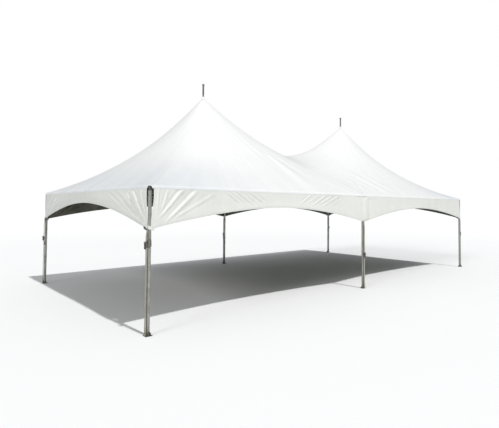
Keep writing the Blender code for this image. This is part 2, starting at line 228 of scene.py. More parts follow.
def sweep(path, section, ups=None, ring=False):
    """Carries a section along a path. ups gives the way that the section's top faces."""
    path = [Vector(p) for p in path]
    count = len(section)
    points = []
    runs = []
    travelled = 0.0
    last_up = None
    for i, here in enumerate(path):
        before = path[i - 1] if i or ring else here
        after = path[(i + 1) % len(path)] if i + 1 < len(path) or ring else here
        tangent = (after - before).normalized()
        up = Vector(ups[i]) if ups else (last_up or tangent.orthogonal())
        up = (up - tangent * up.dot(tangent)).normalized()
        last_up = up
        side = up.cross(tangent)
        if i:
            travelled += (here - path[i - 1]).length
        for a, b in section:
            points.append(here + side * a + up * b)
            runs.append((a, travelled))
    faces = []
    for i in range(len(path) if ring else len(path) - 1):
        j = (i + 1) % len(path)
        for k in range(count):
            n = (k + 1) % count
            faces.append([i * count + k, i * count + n, j * count + n, j * count + k])
    if not ring:
        faces.append(list(range(count)))
        faces.append([(len(path) - 1) * count + k for k in range(count)])
    return Stock().add(points, faces, runs)


def rod(start, end, radius, sides=16):
    return sweep([start, end], round_section(radius, sides))


def turned_to(direction, spin=0.0):
    """Turns +Z to a direction."""
    turn = UP.rotation_difference(Vector(direction)).to_matrix().to_4x4()
    return turn @ Matrix.Rotation(spin, 4, "Z")


def at(*place):
    return Matrix.Translation(Vector(place))


def bored(body, cutters):
    """A body with the cutters' shapes taken out of it."""
    scene = bpy.context.scene.collection
    block = bpy.data.objects.new("body", body.mesh("body"))
    scene.objects.link(block)
    tools = []
    for cutter in cutters:
        tool = bpy.data.objects.new("tool", cutter.mesh("tool"))
        scene.objects.link(tool)
        cut = block.modifiers.new("cut", "BOOLEAN")
        cut.operation = "DIFFERENCE"
        cut.solver = "EXACT"
        cut.object = tool
        tools.append(tool)
    result = bpy.data.meshes.new_from_object(
        block.evaluated_get(bpy.context.evaluated_depsgraph_get()))
    for old in [block] + tools:
        bpy.data.objects.remove(old, do_unlink=True)
    shape = bmesh.new()
    shape.from_mesh(result)
    return stock_of(shape)


def piece(name, shape, finish, nodes=(), angle=35):
    """Puts a finished shape in the scene, on the root body, standing for the nodes it is given."""
    mesh = shape.mesh(name) if isinstance(shape, Stock) else shape
    made = bpy.data.objects.new(name, mesh)
    bpy.context.scene.collection.objects.link(made)
    mesh.materials.clear()
    mesh.materials.append(finish)
    mesh.shade_smooth()
    mesh.set_sharp_from_angle(angle=math.radians(angle))
    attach(made, "root")
    if nodes:
        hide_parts(*nodes)
    return made


def declared(cloth):
    """Hands the piece back as it is."""
    return cloth


def thickened(mesh, thickness):
    """Gives a sheet its thickness on the side that its faces look to. The attribute "inner" is 1
    on the faces of the other side."""
    sheet = bpy.data.objects.new("sheet", mesh)
    bpy.context.scene.collection.objects.link(sheet)
    for _ in range(2):
        mesh.materials.append(None)
    wall = sheet.modifiers.new("wall", "SOLIDIFY")
    wall.thickness = thickness
    wall.offset = 1.0
    wall.material_offset = 1
    result = bpy.data.meshes.new_from_object(
        sheet.evaluated_get(bpy.context.evaluated_depsgraph_get()))
    bpy.data.objects.remove(sheet, do_unlink=True)
    side = np.zeros(len(result.polygons), dtype=np.int32)
    result.polygons.foreach_get("material_index", side)
    inner = result.attributes.new("inner", "FLOAT", "FACE")
    inner.data.foreach_set("value", side.astype(np.float32))
    result.polygons.foreach_set("material_index", np.zeros_like(side))
    return result


def sheet_mesh(name, points, faces, runs, outward_hint):
    """An open sheet, faced towards the hint, which is a function of a face's middle."""
    made = bpy.data.meshes.new(name)
    made.from_pydata([tuple(p) for p in points], [], faces)
    layer = made.uv_layers.new(name="run")
    corner_point = np.zeros(len(made.loops), dtype=np.int32)
    made.loops.foreach_get("vertex_index", corner_point)
    layer.data.foreach_set("uv", np.array(runs)[corner_point].ravel())
    shape = bmesh.new()
    shape.from_mesh(made)
    shape.normal_update()
    wrong = [f for f in shape.faces if f.normal.dot(outward_hint(f.calc_center_median())) < 0]
    bmesh.ops.reverse_faces(shape, faces=wrong)
    shape.to_mesh(made)
    shape.free()
    return made


# Shader parts


class Finish:
    """A material under construction."""

    def __init__(self, name):
        self.material = bpy.data.materials.new(name)
        self.material.use_nodes = True
        self.tree = self.material.node_tree
        self.shader = self.tree.nodes["Principled BSDF"]

    def add(self, kind, inputs=None, **settings):
        return add_node(self.tree, kind, inputs, **settings)

    def effect(self, group, inputs):
        made = add_node(self.tree, "ShaderNodeGroup", node_tree=group)
        feed(self.tree, made, inputs)
        return made.outputs

    def set(self, **values):
        for label, value in values.items():
            socket = self.shader.inputs[label.replace("_", " ").title().replace("Ior", "IOR")]
            if isinstance(value, bpy.types.NodeSocket):
                self.tree.links.new(value, socket)
            else:
                socket.default_value = value
        return self


def feed(tree, made, inputs):
    for label, value in inputs.items():
        socket = made.inputs[label]
        if isinstance(value, bpy.types.NodeSocket):
            tree.links.new(value, socket)
        elif isinstance(value, tuple) and len(value) == 3 and socket.type == "RGBA":
            socket.default_value = (*value, 1.0)
        else:
            socket.default_value = value


def add_node(tree, kind, inputs=None, **settings):
    made = tree.nodes.new(kind)
    for label, value in settings.items():
        setattr(made, label, value)
    feed(tree, made, inputs or {})
    return made


def maths(tree, operation, a, b=0.0, clamp=False):
    made = tree.nodes.new("ShaderNodeMath")
    made.operation = operation
    made.use_clamp = clamp
    feed(tree, made, {0: a, 1: b})
    return made.outputs[0]


def remap(tree, value, low, high, to_low=0.0, to_high=1.0, smooth=False):
    made = add_node(tree, "ShaderNodeMapRange", interpolation_type="SMOOTHSTEP" if smooth
                    else "LINEAR")
    feed(tree, made, {0: value, 1: low, 2: high, 3: to_low, 4: to_high})
    return made.outputs[0]


def blended(tree, share, a, b, kind="MIX"):
    made = add_node(tree, "ShaderNodeMix", data_type="RGBA", blend_type=kind)
    for index, value in ((0, share), (6, a), (7, b)):
        socket = made.inputs[index]
        if isinstance(value, bpy.types.NodeSocket):
            tree.links.new(value, socket)
        elif index:
            socket.default_value = (*value, 1.0)
        else:
            socket.default_value = value
    return made.outputs[2]


def noise(tree, vector, scale, detail=3.0, roughness=0.55):
    return add_node(tree, "ShaderNodeTexNoise", {
        "Vector": vector, "Scale": scale, "Detail": detail, "Roughness": roughness}).outputs[0]


def stretched(tree, vector, scale):
    return add_node(tree, "ShaderNodeMapping", {"Vector": vector, "Scale": scale}).outputs[0]


def shader_group(name, inputs, outputs):
    """An empty node group with its named sockets."""
    group = bpy.data.node_groups.new(name, "ShaderNodeTree")
    for label, value in inputs:
        kind = "NodeSocketVector" if value is None else "NodeSocketFloat"
        socket = group.interface.new_socket(label, in_out="INPUT", socket_type=kind)
        if value is not None:
            socket.default_value = value
    for label in outputs:
        group.interface.new_socket(label, in_out="OUTPUT", socket_type="NodeSocketFloat")
    return (group, group.nodes.new("NodeGroupInput").outputs,
            group.nodes.new("NodeGroupOutput").inputs)


def build_scrim():
    """The woven base that shows through coated vinyl: fine threads both ways."""
    group, given, result = shader_group(
        "scrim_weave", [("Run", None), ("Threads", 700.0)], ["Height"])
    split = add_node(group, "ShaderNodeSeparateXYZ", {0: given["Run"]})
    waves = []
    for axis in (0, 1):
        turn = maths(group, "MULTIPLY", split.outputs[axis], given["Threads"])
        waves.append(maths(group, "SINE", maths(group, "MULTIPLY", turn, 2 * math.pi)))
    both = maths(group, "MULTIPLY", waves[0], waves[1])
    group.links.new(remap(group, both, -1.0, 1.0), result["Height"])
    return group


def build_soiling():
    """Dust and rain marks: soft patches times streaks that run down the piece."""
    group, given, result = shader_group(
        "soiling", [("Place", None), ("Patch Scale", 1.2), ("Streak Scale", 9.0)],
        ["Mask", "Tone"])
    patches = noise(group, given["Place"], given["Patch Scale"], 5.0, 0.62)
    streaks = noise(group, stretched(group, given["Place"], (1.0, 1.0, 0.14)),
                    given["Streak Scale"], 4.0, 0.6)
    mask = maths(group, "MULTIPLY", remap(group, patches, 0.42, 0.72),
                 remap(group, streaks, 0.36, 0.70))
    group.links.new(mask, result["Mask"])
    group.links.new(patches, result["Tone"])
    return group


def build_welds():
    """Welded overlaps of the roof's panels: on the hips, over the saddle and beside each
    gore's middle. The mask is 1 on an overlap."""
    group, given, result = shader_group(
        "roof_welds", [("Place", None), ("Overlap", 0.015), ("Panel", 0.762)],
        ["Mask", "Height"])
    split = add_node(group, "ShaderNodeSeparateXYZ", {0: given["Place"]})
    from_peak_x = maths(group, "ABSOLUTE", maths(
        group, "SUBTRACT", maths(group, "ABSOLUTE", split.outputs[0]), BAY / 2))
    from_peak_y = maths(group, "ABSOLUTE", split.outputs[1])
    across = maths(group, "MINIMUM", from_peak_x, from_peak_y)
    hip = maths(group, "ABSOLUTE", maths(group, "SUBTRACT", from_peak_x, from_peak_y))
    saddle = maths(group, "ABSOLUTE", split.outputs[0])
    second = maths(group, "MULTIPLY", given["Panel"], 3.0)
    near = [maths(group, "ABSOLUTE", maths(group, "SUBTRACT", across, given["Panel"])),
            maths(group, "ABSOLUTE", maths(group, "SUBTRACT", across, second)), hip, saddle]
    closest = near[0]
    for other in near[1:]:
        closest = maths(group, "MINIMUM", closest, other)
    edge = maths(group, "MULTIPLY", given["Overlap"], 1.25)
    mask = remap(group, closest, edge, given["Overlap"], smooth=True)
    group.links.new(mask, result["Mask"])
    group.links.new(mask, result["Height"])
    return group


def build_fan():
    """Fine pull lines that fan out from each mast down the roof."""
    group, given, result = shader_group(
        "mast_fan", [("Place", None), ("Lines", 9.0), ("Along", 0.35)], ["Height"])
    split = add_node(group, "ShaderNodeSeparateXYZ", {0: given["Place"]})
    from_x = maths(group, "SUBTRACT", maths(group, "ABSOLUTE", split.outputs[0]), BAY / 2)
    flat = add_node(group, "ShaderNodeCombineXYZ", {0: from_x, 1: split.outputs[1]}).outputs[0]
    reach = add_node(group, "ShaderNodeVectorMath", {0: flat}, operation="LENGTH").outputs["Value"]
    unit = add_node(group, "ShaderNodeVectorMath", {0: flat}, operation="NORMALIZE").outputs[0]
    lines = add_node(group, "ShaderNodeVectorMath", {0: unit}, operation="SCALE")
    group.links.new(given["Lines"], lines.inputs["Scale"])
    parts = add_node(group, "ShaderNodeSeparateXYZ", {0: lines.outputs[0]}).outputs
    polar = add_node(group, "ShaderNodeCombineXYZ", {
        0: parts[0], 1: parts[1], 2: maths(group, "MULTIPLY", reach, given["Along"])}).outputs[0]
    group.links.new(noise(group, polar, 1.0, 3.0, 0.5), result["Height"])
    return group


def build_drawn():
    """Drawn or extruded metal: fine lines along the tube, dull patches and scuffs."""
    group, given, result = shader_group(
        "drawn_metal", [("Lines Place", None), ("Place", None), ("Wear", 0.5)],
        ["Shade", "Dull", "Height"])
    lines = noise(group, given["Lines Place"], 60.0, 3.0, 0.6)
    patches = noise(group, given["Place"], 7.0, 6.0, 0.65)
    marks = noise(group, given["Place"], 55.0, 5.0, 0.7)
    scuffs = remap(group, maths(group, "MULTIPLY", marks, given["Wear"]), 0.29, 0.36)
    group.links.new(remap(group, lines, 0.3, 0.7, 0.75, 1.0), result["Shade"])
    group.links.new(maths(group, "MAXIMUM", remap(group, patches, 0.45, 0.7), scuffs, True),
                    result["Dull"])
    group.links.new(maths(group, "SUBTRACT", lines, maths(group, "MULTIPLY", scuffs, 0.6)),
                    result["Height"])
    return group


def build_web():
    """Woven polyester webbing: ribs along it and picks across it, with a plain edge."""
    group, given, result = shader_group(
        "web_weave", [("Run", None), ("Ribs", 330.0), ("Picks", 420.0), ("Width", 0.05)],
        ["Height", "Edge"])
    split = add_node(group, "ShaderNodeSeparateXYZ", {0: given["Run"]})
    across = maths(group, "SINE", maths(
        group, "MULTIPLY", split.outputs[0], maths(group, "MULTIPLY", given["Ribs"], 6.2832)))
    shift = maths(group, "MULTIPLY", across, 1.2)
    along = maths(group, "SINE", maths(group, "ADD", shift, maths(
        group, "MULTIPLY", split.outputs[1], maths(group, "MULTIPLY", given["Picks"], 6.2832))))
    height = maths(group, "ADD", maths(group, "MULTIPLY", across, 0.5), along)
    group.links.new(remap(group, height, -1.5, 1.5), result["Height"])
    reach = maths(group, "ABSOLUTE", split.outputs[0])
    near_edge = maths(group, "SUBTRACT", maths(group, "MULTIPLY", given["Width"], 0.5), reach)
    group.links.new(remap(group, near_edge, 0.006, 0.0045), result["Edge"])
    return group


SCRIM = build_scrim()
SOILING = build_soiling()
WELDS = build_welds()
FAN = build_fan()
DRAWN = build_drawn()
WEB = build_web()


def bumped(finish, layers):
    """Stacks bumps: each layer is a height, a distance in metres and a strength."""
    last = None
    for height, distance, strength in layers:
        inputs = {"Height": height, "Distance": distance, "Strength": strength}
        if last:
            inputs["Normal"] = last
        last = finish.add("ShaderNodeBump", inputs).outputs[0]
    return last


# Colour of the inside faces: a dark coat, drawn far darker so that it also stands for the shade under
# the roof (painted shade)
INNER_COAT_AND_SHADE = (0.10, 0.10, 0.075)
# How strongly the roof's low parts are greyed: partly dust, partly painted shade
ROOF_DUST_AND_SHADE = 0.30


def vinyl_finish(name, white, grime, soiled, roof=False):
    """Coated vinyl: smooth face, woven base just visible, dust in patches and streaks, a grey low on
    the roof that is dust and painted shade, painted shade on parts of the valances, and inside a dark
    coat that is mostly painted shade, with patches of painted light."""
    finish = Finish(name)
    tree = finish.tree
    place = finish.add("ShaderNodeTexCoord").outputs["Object"]
    run = finish.add("ShaderNodeUVMap", uv_map="run").outputs[0]
    weave = finish.effect(SCRIM, {"Run": run, "Threads": 620.0})["Height"]
    dirt = finish.effect(SOILING, {"Place": place, "Patch Scale": 0.9, "Streak Scale": 7.0})
    ripple = noise(tree, place, 2.6, 2.0, 0.45)
    amount = maths(tree, "MULTIPLY", dirt["Mask"], soiled)
    tone = blended(tree, remap(tree, dirt["Tone"], 0.3, 0.7), white,
                   tuple(c * 0.965 for c in white))
    colour = blended(tree, amount, tone, grime)
    layers = [(ripple, 0.02, 0.22), (weave, 0.0002, 0.5)]
    rough = remap(tree, dirt["Mask"], 0.0, 1.0, 0.34, 0.55)
    if roof:
        welds = finish.effect(WELDS, {"Place": place, "Overlap": 0.015, "Panel": 0.762})
        fan = finish.effect(FAN, {"Place": place, "Lines": 8.0, "Along": 0.3})["Height"]
        colour = blended(tree, maths(tree, "MULTIPLY", welds["Mask"], 0.35), colour,
                         tuple(c * 0.93 for c in white))
        # Bluish grey towards the eave, more at the ends: partly dust, partly painted shade where only
        # the sky lights the roof
        low = remap(tree, finish.add("ShaderNodeSeparateXYZ", {0: place}).outputs[2],
                    3.55, 2.60, smooth=True)
        streaky = remap(tree, fan, 0.30, 0.70, 0.35, 1.0)
        along = finish.add("ShaderNodeSeparateXYZ", {0: place}).outputs[0]
        ends = remap(tree, maths(tree, "ABSOLUTE", along), 3.4, 5.2, 0.5, 1.6)
        dust_and_shade = maths(tree, "MULTIPLY", maths(tree, "MULTIPLY", low, streaky), ends)
        colour = blended(tree, maths(tree, "MULTIPLY", dust_and_shade, ROOF_DUST_AND_SHADE), colour,
                         (0.60, 0.64, 0.70))
        height = finish.add("ShaderNodeSeparateXYZ", {0: place}).outputs[2]
        band = remap(tree, height, EAVE_Z + 0.03, EAVE_Z - 0.02)
        gathers = noise(tree, stretched(tree, place, (1.0, 1.0, 0.12)), 11.0, 2.0, 0.5)
        pucker = maths(tree, "MULTIPLY", gathers, band)
        layers = [(fan, 0.05, 0.30), (welds["Height"], 0.0012, 0.6),
                  (pucker, 0.012, 0.5)] + layers
    else:
        height = finish.add("ShaderNodeSeparateXYZ", {0: place}).outputs[2]
        low = maths(tree, "MULTIPLY", remap(tree, height, 2.05, 1.72), 0.25)
        spots = noise(tree, place, 14.0, 5.0, 0.7)
        colour = blended(tree, maths(tree, "MULTIPLY", low, spots, True), colour, grime)
        # Painted shade: the doubled hem band is drawn darker, for the dark line along the lower edge
        doubled = finish.add("ShaderNodeAttribute", attribute_name="doubled").outputs["Fac"]
        colour = blended(tree, maths(tree, "MULTIPLY", doubled, 0.30), colour,
                         tuple(c * 0.75 for c in white))
        # Painted shade: the valances drawn darker towards +X
        along = finish.add("ShaderNodeSeparateXYZ", {0: place}).outputs[0]
        colour = blended(tree, remap(tree, along, 0.05, HALF_LENGTH, 0.0, 0.30), colour,
                         tuple(c * 0.80 for c in white))
        # Painted shade: each end valance drawn darker towards one corner, the back on the left end
        # and the front on the right end
        across = finish.add("ShaderNodeSeparateXYZ", {0: place}).outputs[1]
        at_end = maths(tree, "GREATER_THAN", maths(tree, "ABSOLUTE", along), HALF_LENGTH + 0.02)
        far = remap(tree, maths(tree, "MULTIPLY", along, across), 9.0, -18.0, 0.0, 0.5)
        colour = blended(tree, maths(tree, "MULTIPLY", at_end, far), colour,
                         tuple(c * 0.70 for c in white))
    # Inside faces: the dark coat with painted shade, and mottled lighter patches that are painted
    # light coming through
    inside = finish.add("ShaderNodeAttribute", attribute_name="inner").outputs["Fac"]
    painted_light_patches = remap(tree, noise(tree, place, 3.5, 4.0, 0.6), 0.35, 0.68)
    inner_coat_and_shade = blended(tree, painted_light_patches, tuple(c * 0.75 for c in INNER_COAT_AND_SHADE),
                   tuple(c * 1.6 for c in INNER_COAT_AND_SHADE))
    colour = blended(tree, inside, colour, inner_coat_and_shade)
    finish.set(base_color=colour, roughness=rough, normal=bumped(finish, layers))
    finish.set(specular_ior_level=0.4)
    return finish.material


def tube_finish(name, metal, dull, lines_scale, wear=0.5, mud=0.0):
    """Tube or cast metal, drawn along the axis that has the small scale."""
    finish = Finish(name)
    tree = finish.tree
    place = finish.add("ShaderNodeTexCoord").outputs["Object"]
    marks = finish.effect(DRAWN, {"Lines Place": stretched(tree, place, lines_scale),
                                  "Place": place, "Wear": wear})
    colour = blended(tree, marks["Dull"], metal, dull)
    shade = finish.add("ShaderNodeCombineColor", {
        0: marks["Shade"], 1: marks["Shade"], 2: marks["Shade"]}).outputs[0]
    colour = blended(tree, 1.0, colour, shade, "MULTIPLY")
    if mud:
        height = finish.add("ShaderNodeSeparateXYZ", {0: place}).outputs[2]
        splash = maths(tree, "MULTIPLY", remap(tree, height, 0.34, 0.02),
                       remap(tree, noise(tree, place, 26.0, 5.0, 0.7), 0.35, 0.62))
        colour = blended(tree, maths(tree, "MULTIPLY", splash, mud), colour,
                         (0.12, 0.105, 0.08))
    finish.set(base_color=colour,
               roughness=remap(tree, marks["Dull"], 0.0, 1.0, 0.33, 0.62),
               metallic=remap(tree, marks["Dull"], 0.0, 1.0, 0.9, 0.55),
               normal=bumped(finish, [(marks["Height"], 0.0004, 0.35)]))
    return finish.material


def web_finish(name, fibre, soiled, edge):
    finish = Finish(name)
    tree = finish.tree
    place = finish.add("ShaderNodeTexCoord").outputs["Object"]
    run = finish.add("ShaderNodeUVMap", uv_map="run").outputs[0]
    weave = finish.effect(WEB, {"Run": run, "Ribs": 330.0, "Picks": 420.0,
                                "Width": STRAP_WIDTH})
    dirt = finish.effect(SOILING, {"Place": place, "Patch Scale": 6.0, "Streak Scale": 30.0})
    colour = blended(tree, dirt["Mask"], fibre, soiled)
    colour = blended(tree, maths(tree, "MULTIPLY", weave["Edge"], 0.5), colour, edge)
    # Painted shade: the weave's low parts are drawn darker
    hollow_shade = remap(tree, weave["Height"], 0.0, 1.0, 0.72, 1.0)
    shade = finish.add("ShaderNodeCombineColor", {0: hollow_shade, 1: hollow_shade, 2: hollow_shade}).outputs[0]
    colour = blended(tree, 1.0, colour, shade, "MULTIPLY")
    finish.set(base_color=colour, roughness=remap(tree, dirt["Tone"], 0.3, 0.7, 0.7, 0.9),
               normal=bumped(finish, [(weave["Height"], 0.0006, 0.7)]))
    return finish.material


def plain_finish(name, colour, other, roughness, metallic=0.0, scale=40.0, bump=0.0003):
    """Moulded plastic, thread or painted trim, with an uneven tone and a fine texture."""
    finish = Finish(name)
    tree = finish.tree
    place = finish.add("ShaderNodeTexCoord").outputs["Object"]
    tone = noise(tree, place, scale, 4.0, 0.6)
    dirt = finish.effect(SOILING, {"Place": place, "Patch Scale": 8.0, "Streak Scale": 40.0})
    mixed = blended(tree, maths(tree, "MAXIMUM", remap(tree, tone, 0.35, 0.65), dirt["Mask"]),
                    colour, other)
    finish.set(base_color=mixed, metallic=metallic,
               roughness=remap(tree, tone, 0.3, 0.7, roughness, roughness + 0.2),
               normal=bumped(finish, [(tone, bump, 0.5)]))
    return finish.material


ROOF_VINYL = vinyl_finish("roof_vinyl", (0.90, 0.90, 0.885), (0.66, 0.67, 0.63), 0.18, roof=True)
VALANCE_VINYL = vinyl_finish("valance_vinyl", (0.80, 0.805, 0.765), (0.52, 0.52, 0.46), 0.30)
TUBE_UPRIGHT = tube_finish("tube_upright", (0.47, 0.465, 0.43), (0.31, 0.305, 0.27),
                           (1.0, 1.0, 0.02), mud=0.8)
TUBE_ALONG = tube_finish("tube_along", (0.58, 0.58, 0.56), (0.38, 0.37, 0.35), (0.02, 1.0, 1.0))
TUBE_ACROSS = tube_finish("tube_across", (0.58, 0.58, 0.56), (0.38, 0.37, 0.35),
                          (1.0, 0.02, 1.0))
MAST_STEEL = tube_finish("mast_steel", (0.26, 0.26, 0.25), (0.15, 0.148, 0.14),
                         (1.0, 1.0, 0.02), wear=0.6)
CAST_METAL = tube_finish("cast_fitting", (0.15, 0.15, 0.145), (0.09, 0.087, 0.08),
                         (1.0, 1.0, 1.0), wear=0.6)
FOOT_STEEL = tube_finish("foot_steel", (0.34, 0.33, 0.29), (0.20, 0.19, 0.16),
                         (1.0, 1.0, 1.0), wear=0.7, mud=0.35)
RING_STEEL = tube_finish("ring_steel", (0.12, 0.095, 0.075), (0.085, 0.055, 0.035),
                         (1.0, 1.0, 1.0), wear=0.7, mud=0.3)
WIRE_STEEL = tube_finish("wire_steel", (0.46, 0.46, 0.46), (0.28, 0.27, 0.26),
                         (1.0, 1.0, 1.0))
RATCHET_STEEL = tube_finish("ratchet_steel", (0.24, 0.23, 0.20), (0.13, 0.12, 0.10),
                            (1.0, 1.0, 1.0), wear=0.7)
WEBBING = web_finish("strap_webbing", (0.44, 0.43, 0.36), (0.27, 0.26, 0.21),
                     (0.36, 0.35, 0.30))
# A darker copy of the webbing for the tail wound round the front left leg: partly dirt, partly
# painted shade between its turns
TAIL_WEBBING = web_finish("tail_webbing", (0.19, 0.185, 0.16), (0.12, 0.115, 0.095),
                          (0.16, 0.155, 0.135))
THREAD = plain_finish("thread", (0.70, 0.71, 0.68), (0.55, 0.55, 0.50), 0.65)
DARK_THREAD = plain_finish("dark_thread", (0.16, 0.16, 0.14), (0.10, 0.10, 0.09), 0.7)
BLACK_PLASTIC = plain_finish("black_plastic", (0.035, 0.035, 0.035), (0.07, 0.068, 0.062), 0.42)


# Geometry node trees for what repeats


def growing_tree(name, sockets):
    """A node tree with its named inputs."""
    tree = bpy.data.node_groups.new(name, "GeometryNodeTree")
    tree.interface.new_socket("Geometry", in_out="INPUT", socket_type="NodeSocketGeometry")
    for label, kind, value in sockets:
        socket = tree.interface.new_socket(label, in_out="INPUT", socket_type=kind)
        if value is not None:
            socket.default_value = value
    tree.interface.new_socket("Geometry", in_out="OUTPUT", socket_type="NodeSocketGeometry")
    return (tree, tree.nodes.new("NodeGroupInput").outputs,
            tree.nodes.new("NodeGroupOutput").inputs)


def close_tree(tree, grown, given, result):
    """The end of each tree: real geometry with its material."""
    real = add_node(tree, "GeometryNodeRealizeInstances", {0: grown}).outputs[0]
    done = add_node(tree, "GeometryNodeSetMaterial", {"Geometry": real,
                                                      "Material": given["Finish"]}).outputs[0]
    tree.links.new(done, result[0])
    return tree


def build_stitch_tree():
    """Threads laid end to end on a line, each a slim bead along it."""
    tree, given, result = growing_tree("stitch_run", [
        ("Spacing", "NodeSocketFloat", 0.010), ("Length", "NodeSocketFloat", 0.0075),
        ("Thickness", "NodeSocketFloat", 0.0016), ("Finish", "NodeSocketMaterial", None)])
    line = add_node(tree, "GeometryNodeMeshToCurve", {0: given["Geometry"]}).outputs[0]
    spots = add_node(tree, "GeometryNodeCurveToPoints", mode="LENGTH")
    feed(tree, spots, {"Curve": line, "Length": given["Spacing"]})
    bead = add_node(tree, "GeometryNodeMeshUVSphere", {"Segments": 5, "Rings": 3, "Radius": 0.5})
    size = add_node(tree, "ShaderNodeCombineXYZ", {
        0: given["Thickness"], 1: given["Thickness"], 2: given["Length"]}).outputs[0]
    bead = add_node(tree, "GeometryNodeTransform", {"Geometry": bead.outputs[0], "Scale": size})
    aim = add_node(tree, "FunctionNodeAlignRotationToVector", {"Vector": spots.outputs["Tangent"]},
                   axis="Z")
    grown = add_node(tree, "GeometryNodeInstanceOnPoints", {
        "Points": spots.outputs["Points"], "Instance": bead.outputs[0],
        "Rotation": aim.outputs[0]})
    return close_tree(tree, grown.outputs[0], given, result)


def build_bolt_tree():
    """Hexagon heads on washers, one at each point, standing along the point's own 'out'."""
    tree, given, result = growing_tree("bolt_set", [
        ("Head", "NodeSocketFloat", 0.008), ("Height", "NodeSocketFloat", 0.006),
        ("Washer", "NodeSocketFloat", 0.011), ("Finish", "NodeSocketMaterial", None)])
    washer = add_node(tree, "GeometryNodeMeshCylinder", {
        "Vertices": 14, "Radius": given["Washer"], "Depth": 0.003})
    head = add_node(tree, "GeometryNodeMeshCylinder", {
        "Vertices": 6, "Radius": given["Head"], "Depth": given["Height"]})
    crown = add_node(tree, "GeometryNodeMeshCone", {
        "Vertices": 6, "Radius Top": maths(tree, "MULTIPLY", given["Head"], 0.72),
        "Radius Bottom": given["Head"], "Depth": 0.0012})
    lift = maths(tree, "MULTIPLY", given["Height"], 0.5)
    raised = add_node(tree, "GeometryNodeTransform", {
        "Geometry": head.outputs[0],
        "Translation": add_node(tree, "ShaderNodeCombineXYZ", {2: lift}).outputs[0]})
    topped = add_node(tree, "GeometryNodeTransform", {
        "Geometry": crown.outputs[0],
        "Translation": add_node(tree, "ShaderNodeCombineXYZ", {2: given["Height"]}).outputs[0]})
    bolt = add_node(tree, "GeometryNodeJoinGeometry")
    for part in (washer, raised, topped):
        tree.links.new(part.outputs[0], bolt.inputs[0])
    out = add_node(tree, "GeometryNodeInputNamedAttribute", {"Name": "out"},
                   data_type="FLOAT_VECTOR")
    aim = add_node(tree, "FunctionNodeAlignRotationToVector", {"Vector": out.outputs[0]},
                   axis="Z")
    grown = add_node(tree, "GeometryNodeInstanceOnPoints", {
        "Points": given["Geometry"], "Instance": bolt.outputs[0], "Rotation": aim.outputs[0]})
    return close_tree(tree, grown.outputs[0], given, result)


def build_rope_tree():
    """Wire rope along +Z: strands laid round each other."""
    tree, given, result = growing_tree("wire_rope", [
        ("Length", "NodeSocketFloat", 1.0), ("Pitch", "NodeSocketFloat", 0.1),
        ("Strand Radius", "NodeSocketFloat", 0.0017), ("Lay Radius", "NodeSocketFloat", 0.0033),
        ("Strands", "NodeSocketInt", 6), ("Finish", "NodeSocketMaterial", None)])
    top = add_node(tree, "ShaderNodeCombineXYZ", {2: given["Length"]}).outputs[0]
    line = add_node(tree, "GeometryNodeCurvePrimitiveLine", {"End": top}).outputs[0]
    steps = maths(tree, "MULTIPLY", maths(tree, "DIVIDE", given["Length"], given["Pitch"]), 7.0)
    fine = add_node(tree, "GeometryNodeResampleCurve", {"Curve": line, "Count": steps})
    height = add_node(tree, "ShaderNodeSeparateXYZ", {
        0: add_node(tree, "GeometryNodeInputPosition").outputs[0]}).outputs[2]
    turn = maths(tree, "MULTIPLY", maths(tree, "DIVIDE", height, given["Pitch"]), 2 * math.pi)
    swing = add_node(tree, "ShaderNodeCombineXYZ", {
        0: maths(tree, "MULTIPLY", maths(tree, "COSINE", turn), given["Lay Radius"]),
        1: maths(tree, "MULTIPLY", maths(tree, "SINE", turn), given["Lay Radius"])}).outputs[0]
    coil = add_node(tree, "GeometryNodeSetPosition", {"Geometry": fine.outputs[0],
                                                      "Offset": swing})
    section = add_node(tree, "GeometryNodeCurvePrimitiveCircle", {
        "Resolution": 4, "Radius": given["Strand Radius"]})
    strand = add_node(tree, "GeometryNodeCurveToMesh", {
        "Curve": coil.outputs[0], "Profile Curve": section.outputs[0], "Fill Caps": True})
    spots = add_node(tree, "GeometryNodeMeshLine", {"Count": given["Strands"],
                                                    "Offset": (0.0, 0.0, 0.0)})
    share = maths(tree, "DIVIDE", add_node(tree, "GeometryNodeInputIndex").outputs[0],
                  given["Strands"])
    spin = add_node(tree, "ShaderNodeCombineXYZ", {
        2: maths(tree, "MULTIPLY", share, 2 * math.pi)}).outputs[0]
    grown = add_node(tree, "GeometryNodeInstanceOnPoints", {
        "Points": spots.outputs[0], "Instance": strand.outputs[0], "Rotation": spin})
    return close_tree(tree, grown.outputs[0], given, result)


STITCH_RUN = build_stitch_tree()
BOLT_SET = build_bolt_tree()
WIRE_ROPE = build_rope_tree()


def grown(base, tree, values):
    """The mesh that a tree makes on a base mesh."""
    holder = bpy.data.objects.new("holder", base)
    bpy.context.scene.collection.objects.link(holder)
    maker = holder.modifiers.new("maker", "NODES")
    maker.node_group = tree
    for item in tree.interface.items_tree:
        if item.in_out == "INPUT" and item.name in values:
            maker[item.identifier] = values[item.name]
    result = bpy.data.meshes.new_from_object(
        holder.evaluated_get(bpy.context.evaluated_depsgraph_get()))
    bpy.data.objects.remove(holder, do_unlink=True)
    return result


def stitches(name, lines, finish, spacing=0.010, length=0.0075, thickness=0.0016):
    """One piece of thread for all the given lines of points."""
    points = []
    edges = []
    for line in lines:
        start = len(points)
        points += [tuple(p) for p in line]
        edges += [(start + i, start + i + 1) for i in range(len(line) - 1)]
    base = bpy.data.meshes.new("lines")
    base.from_pydata(points, edges, [])
    mesh = grown(base, STITCH_RUN, {"Spacing": spacing, "Length": length,
                                    "Thickness": thickness, "Finish": finish})
    return piece(name, mesh, finish, angle=60)


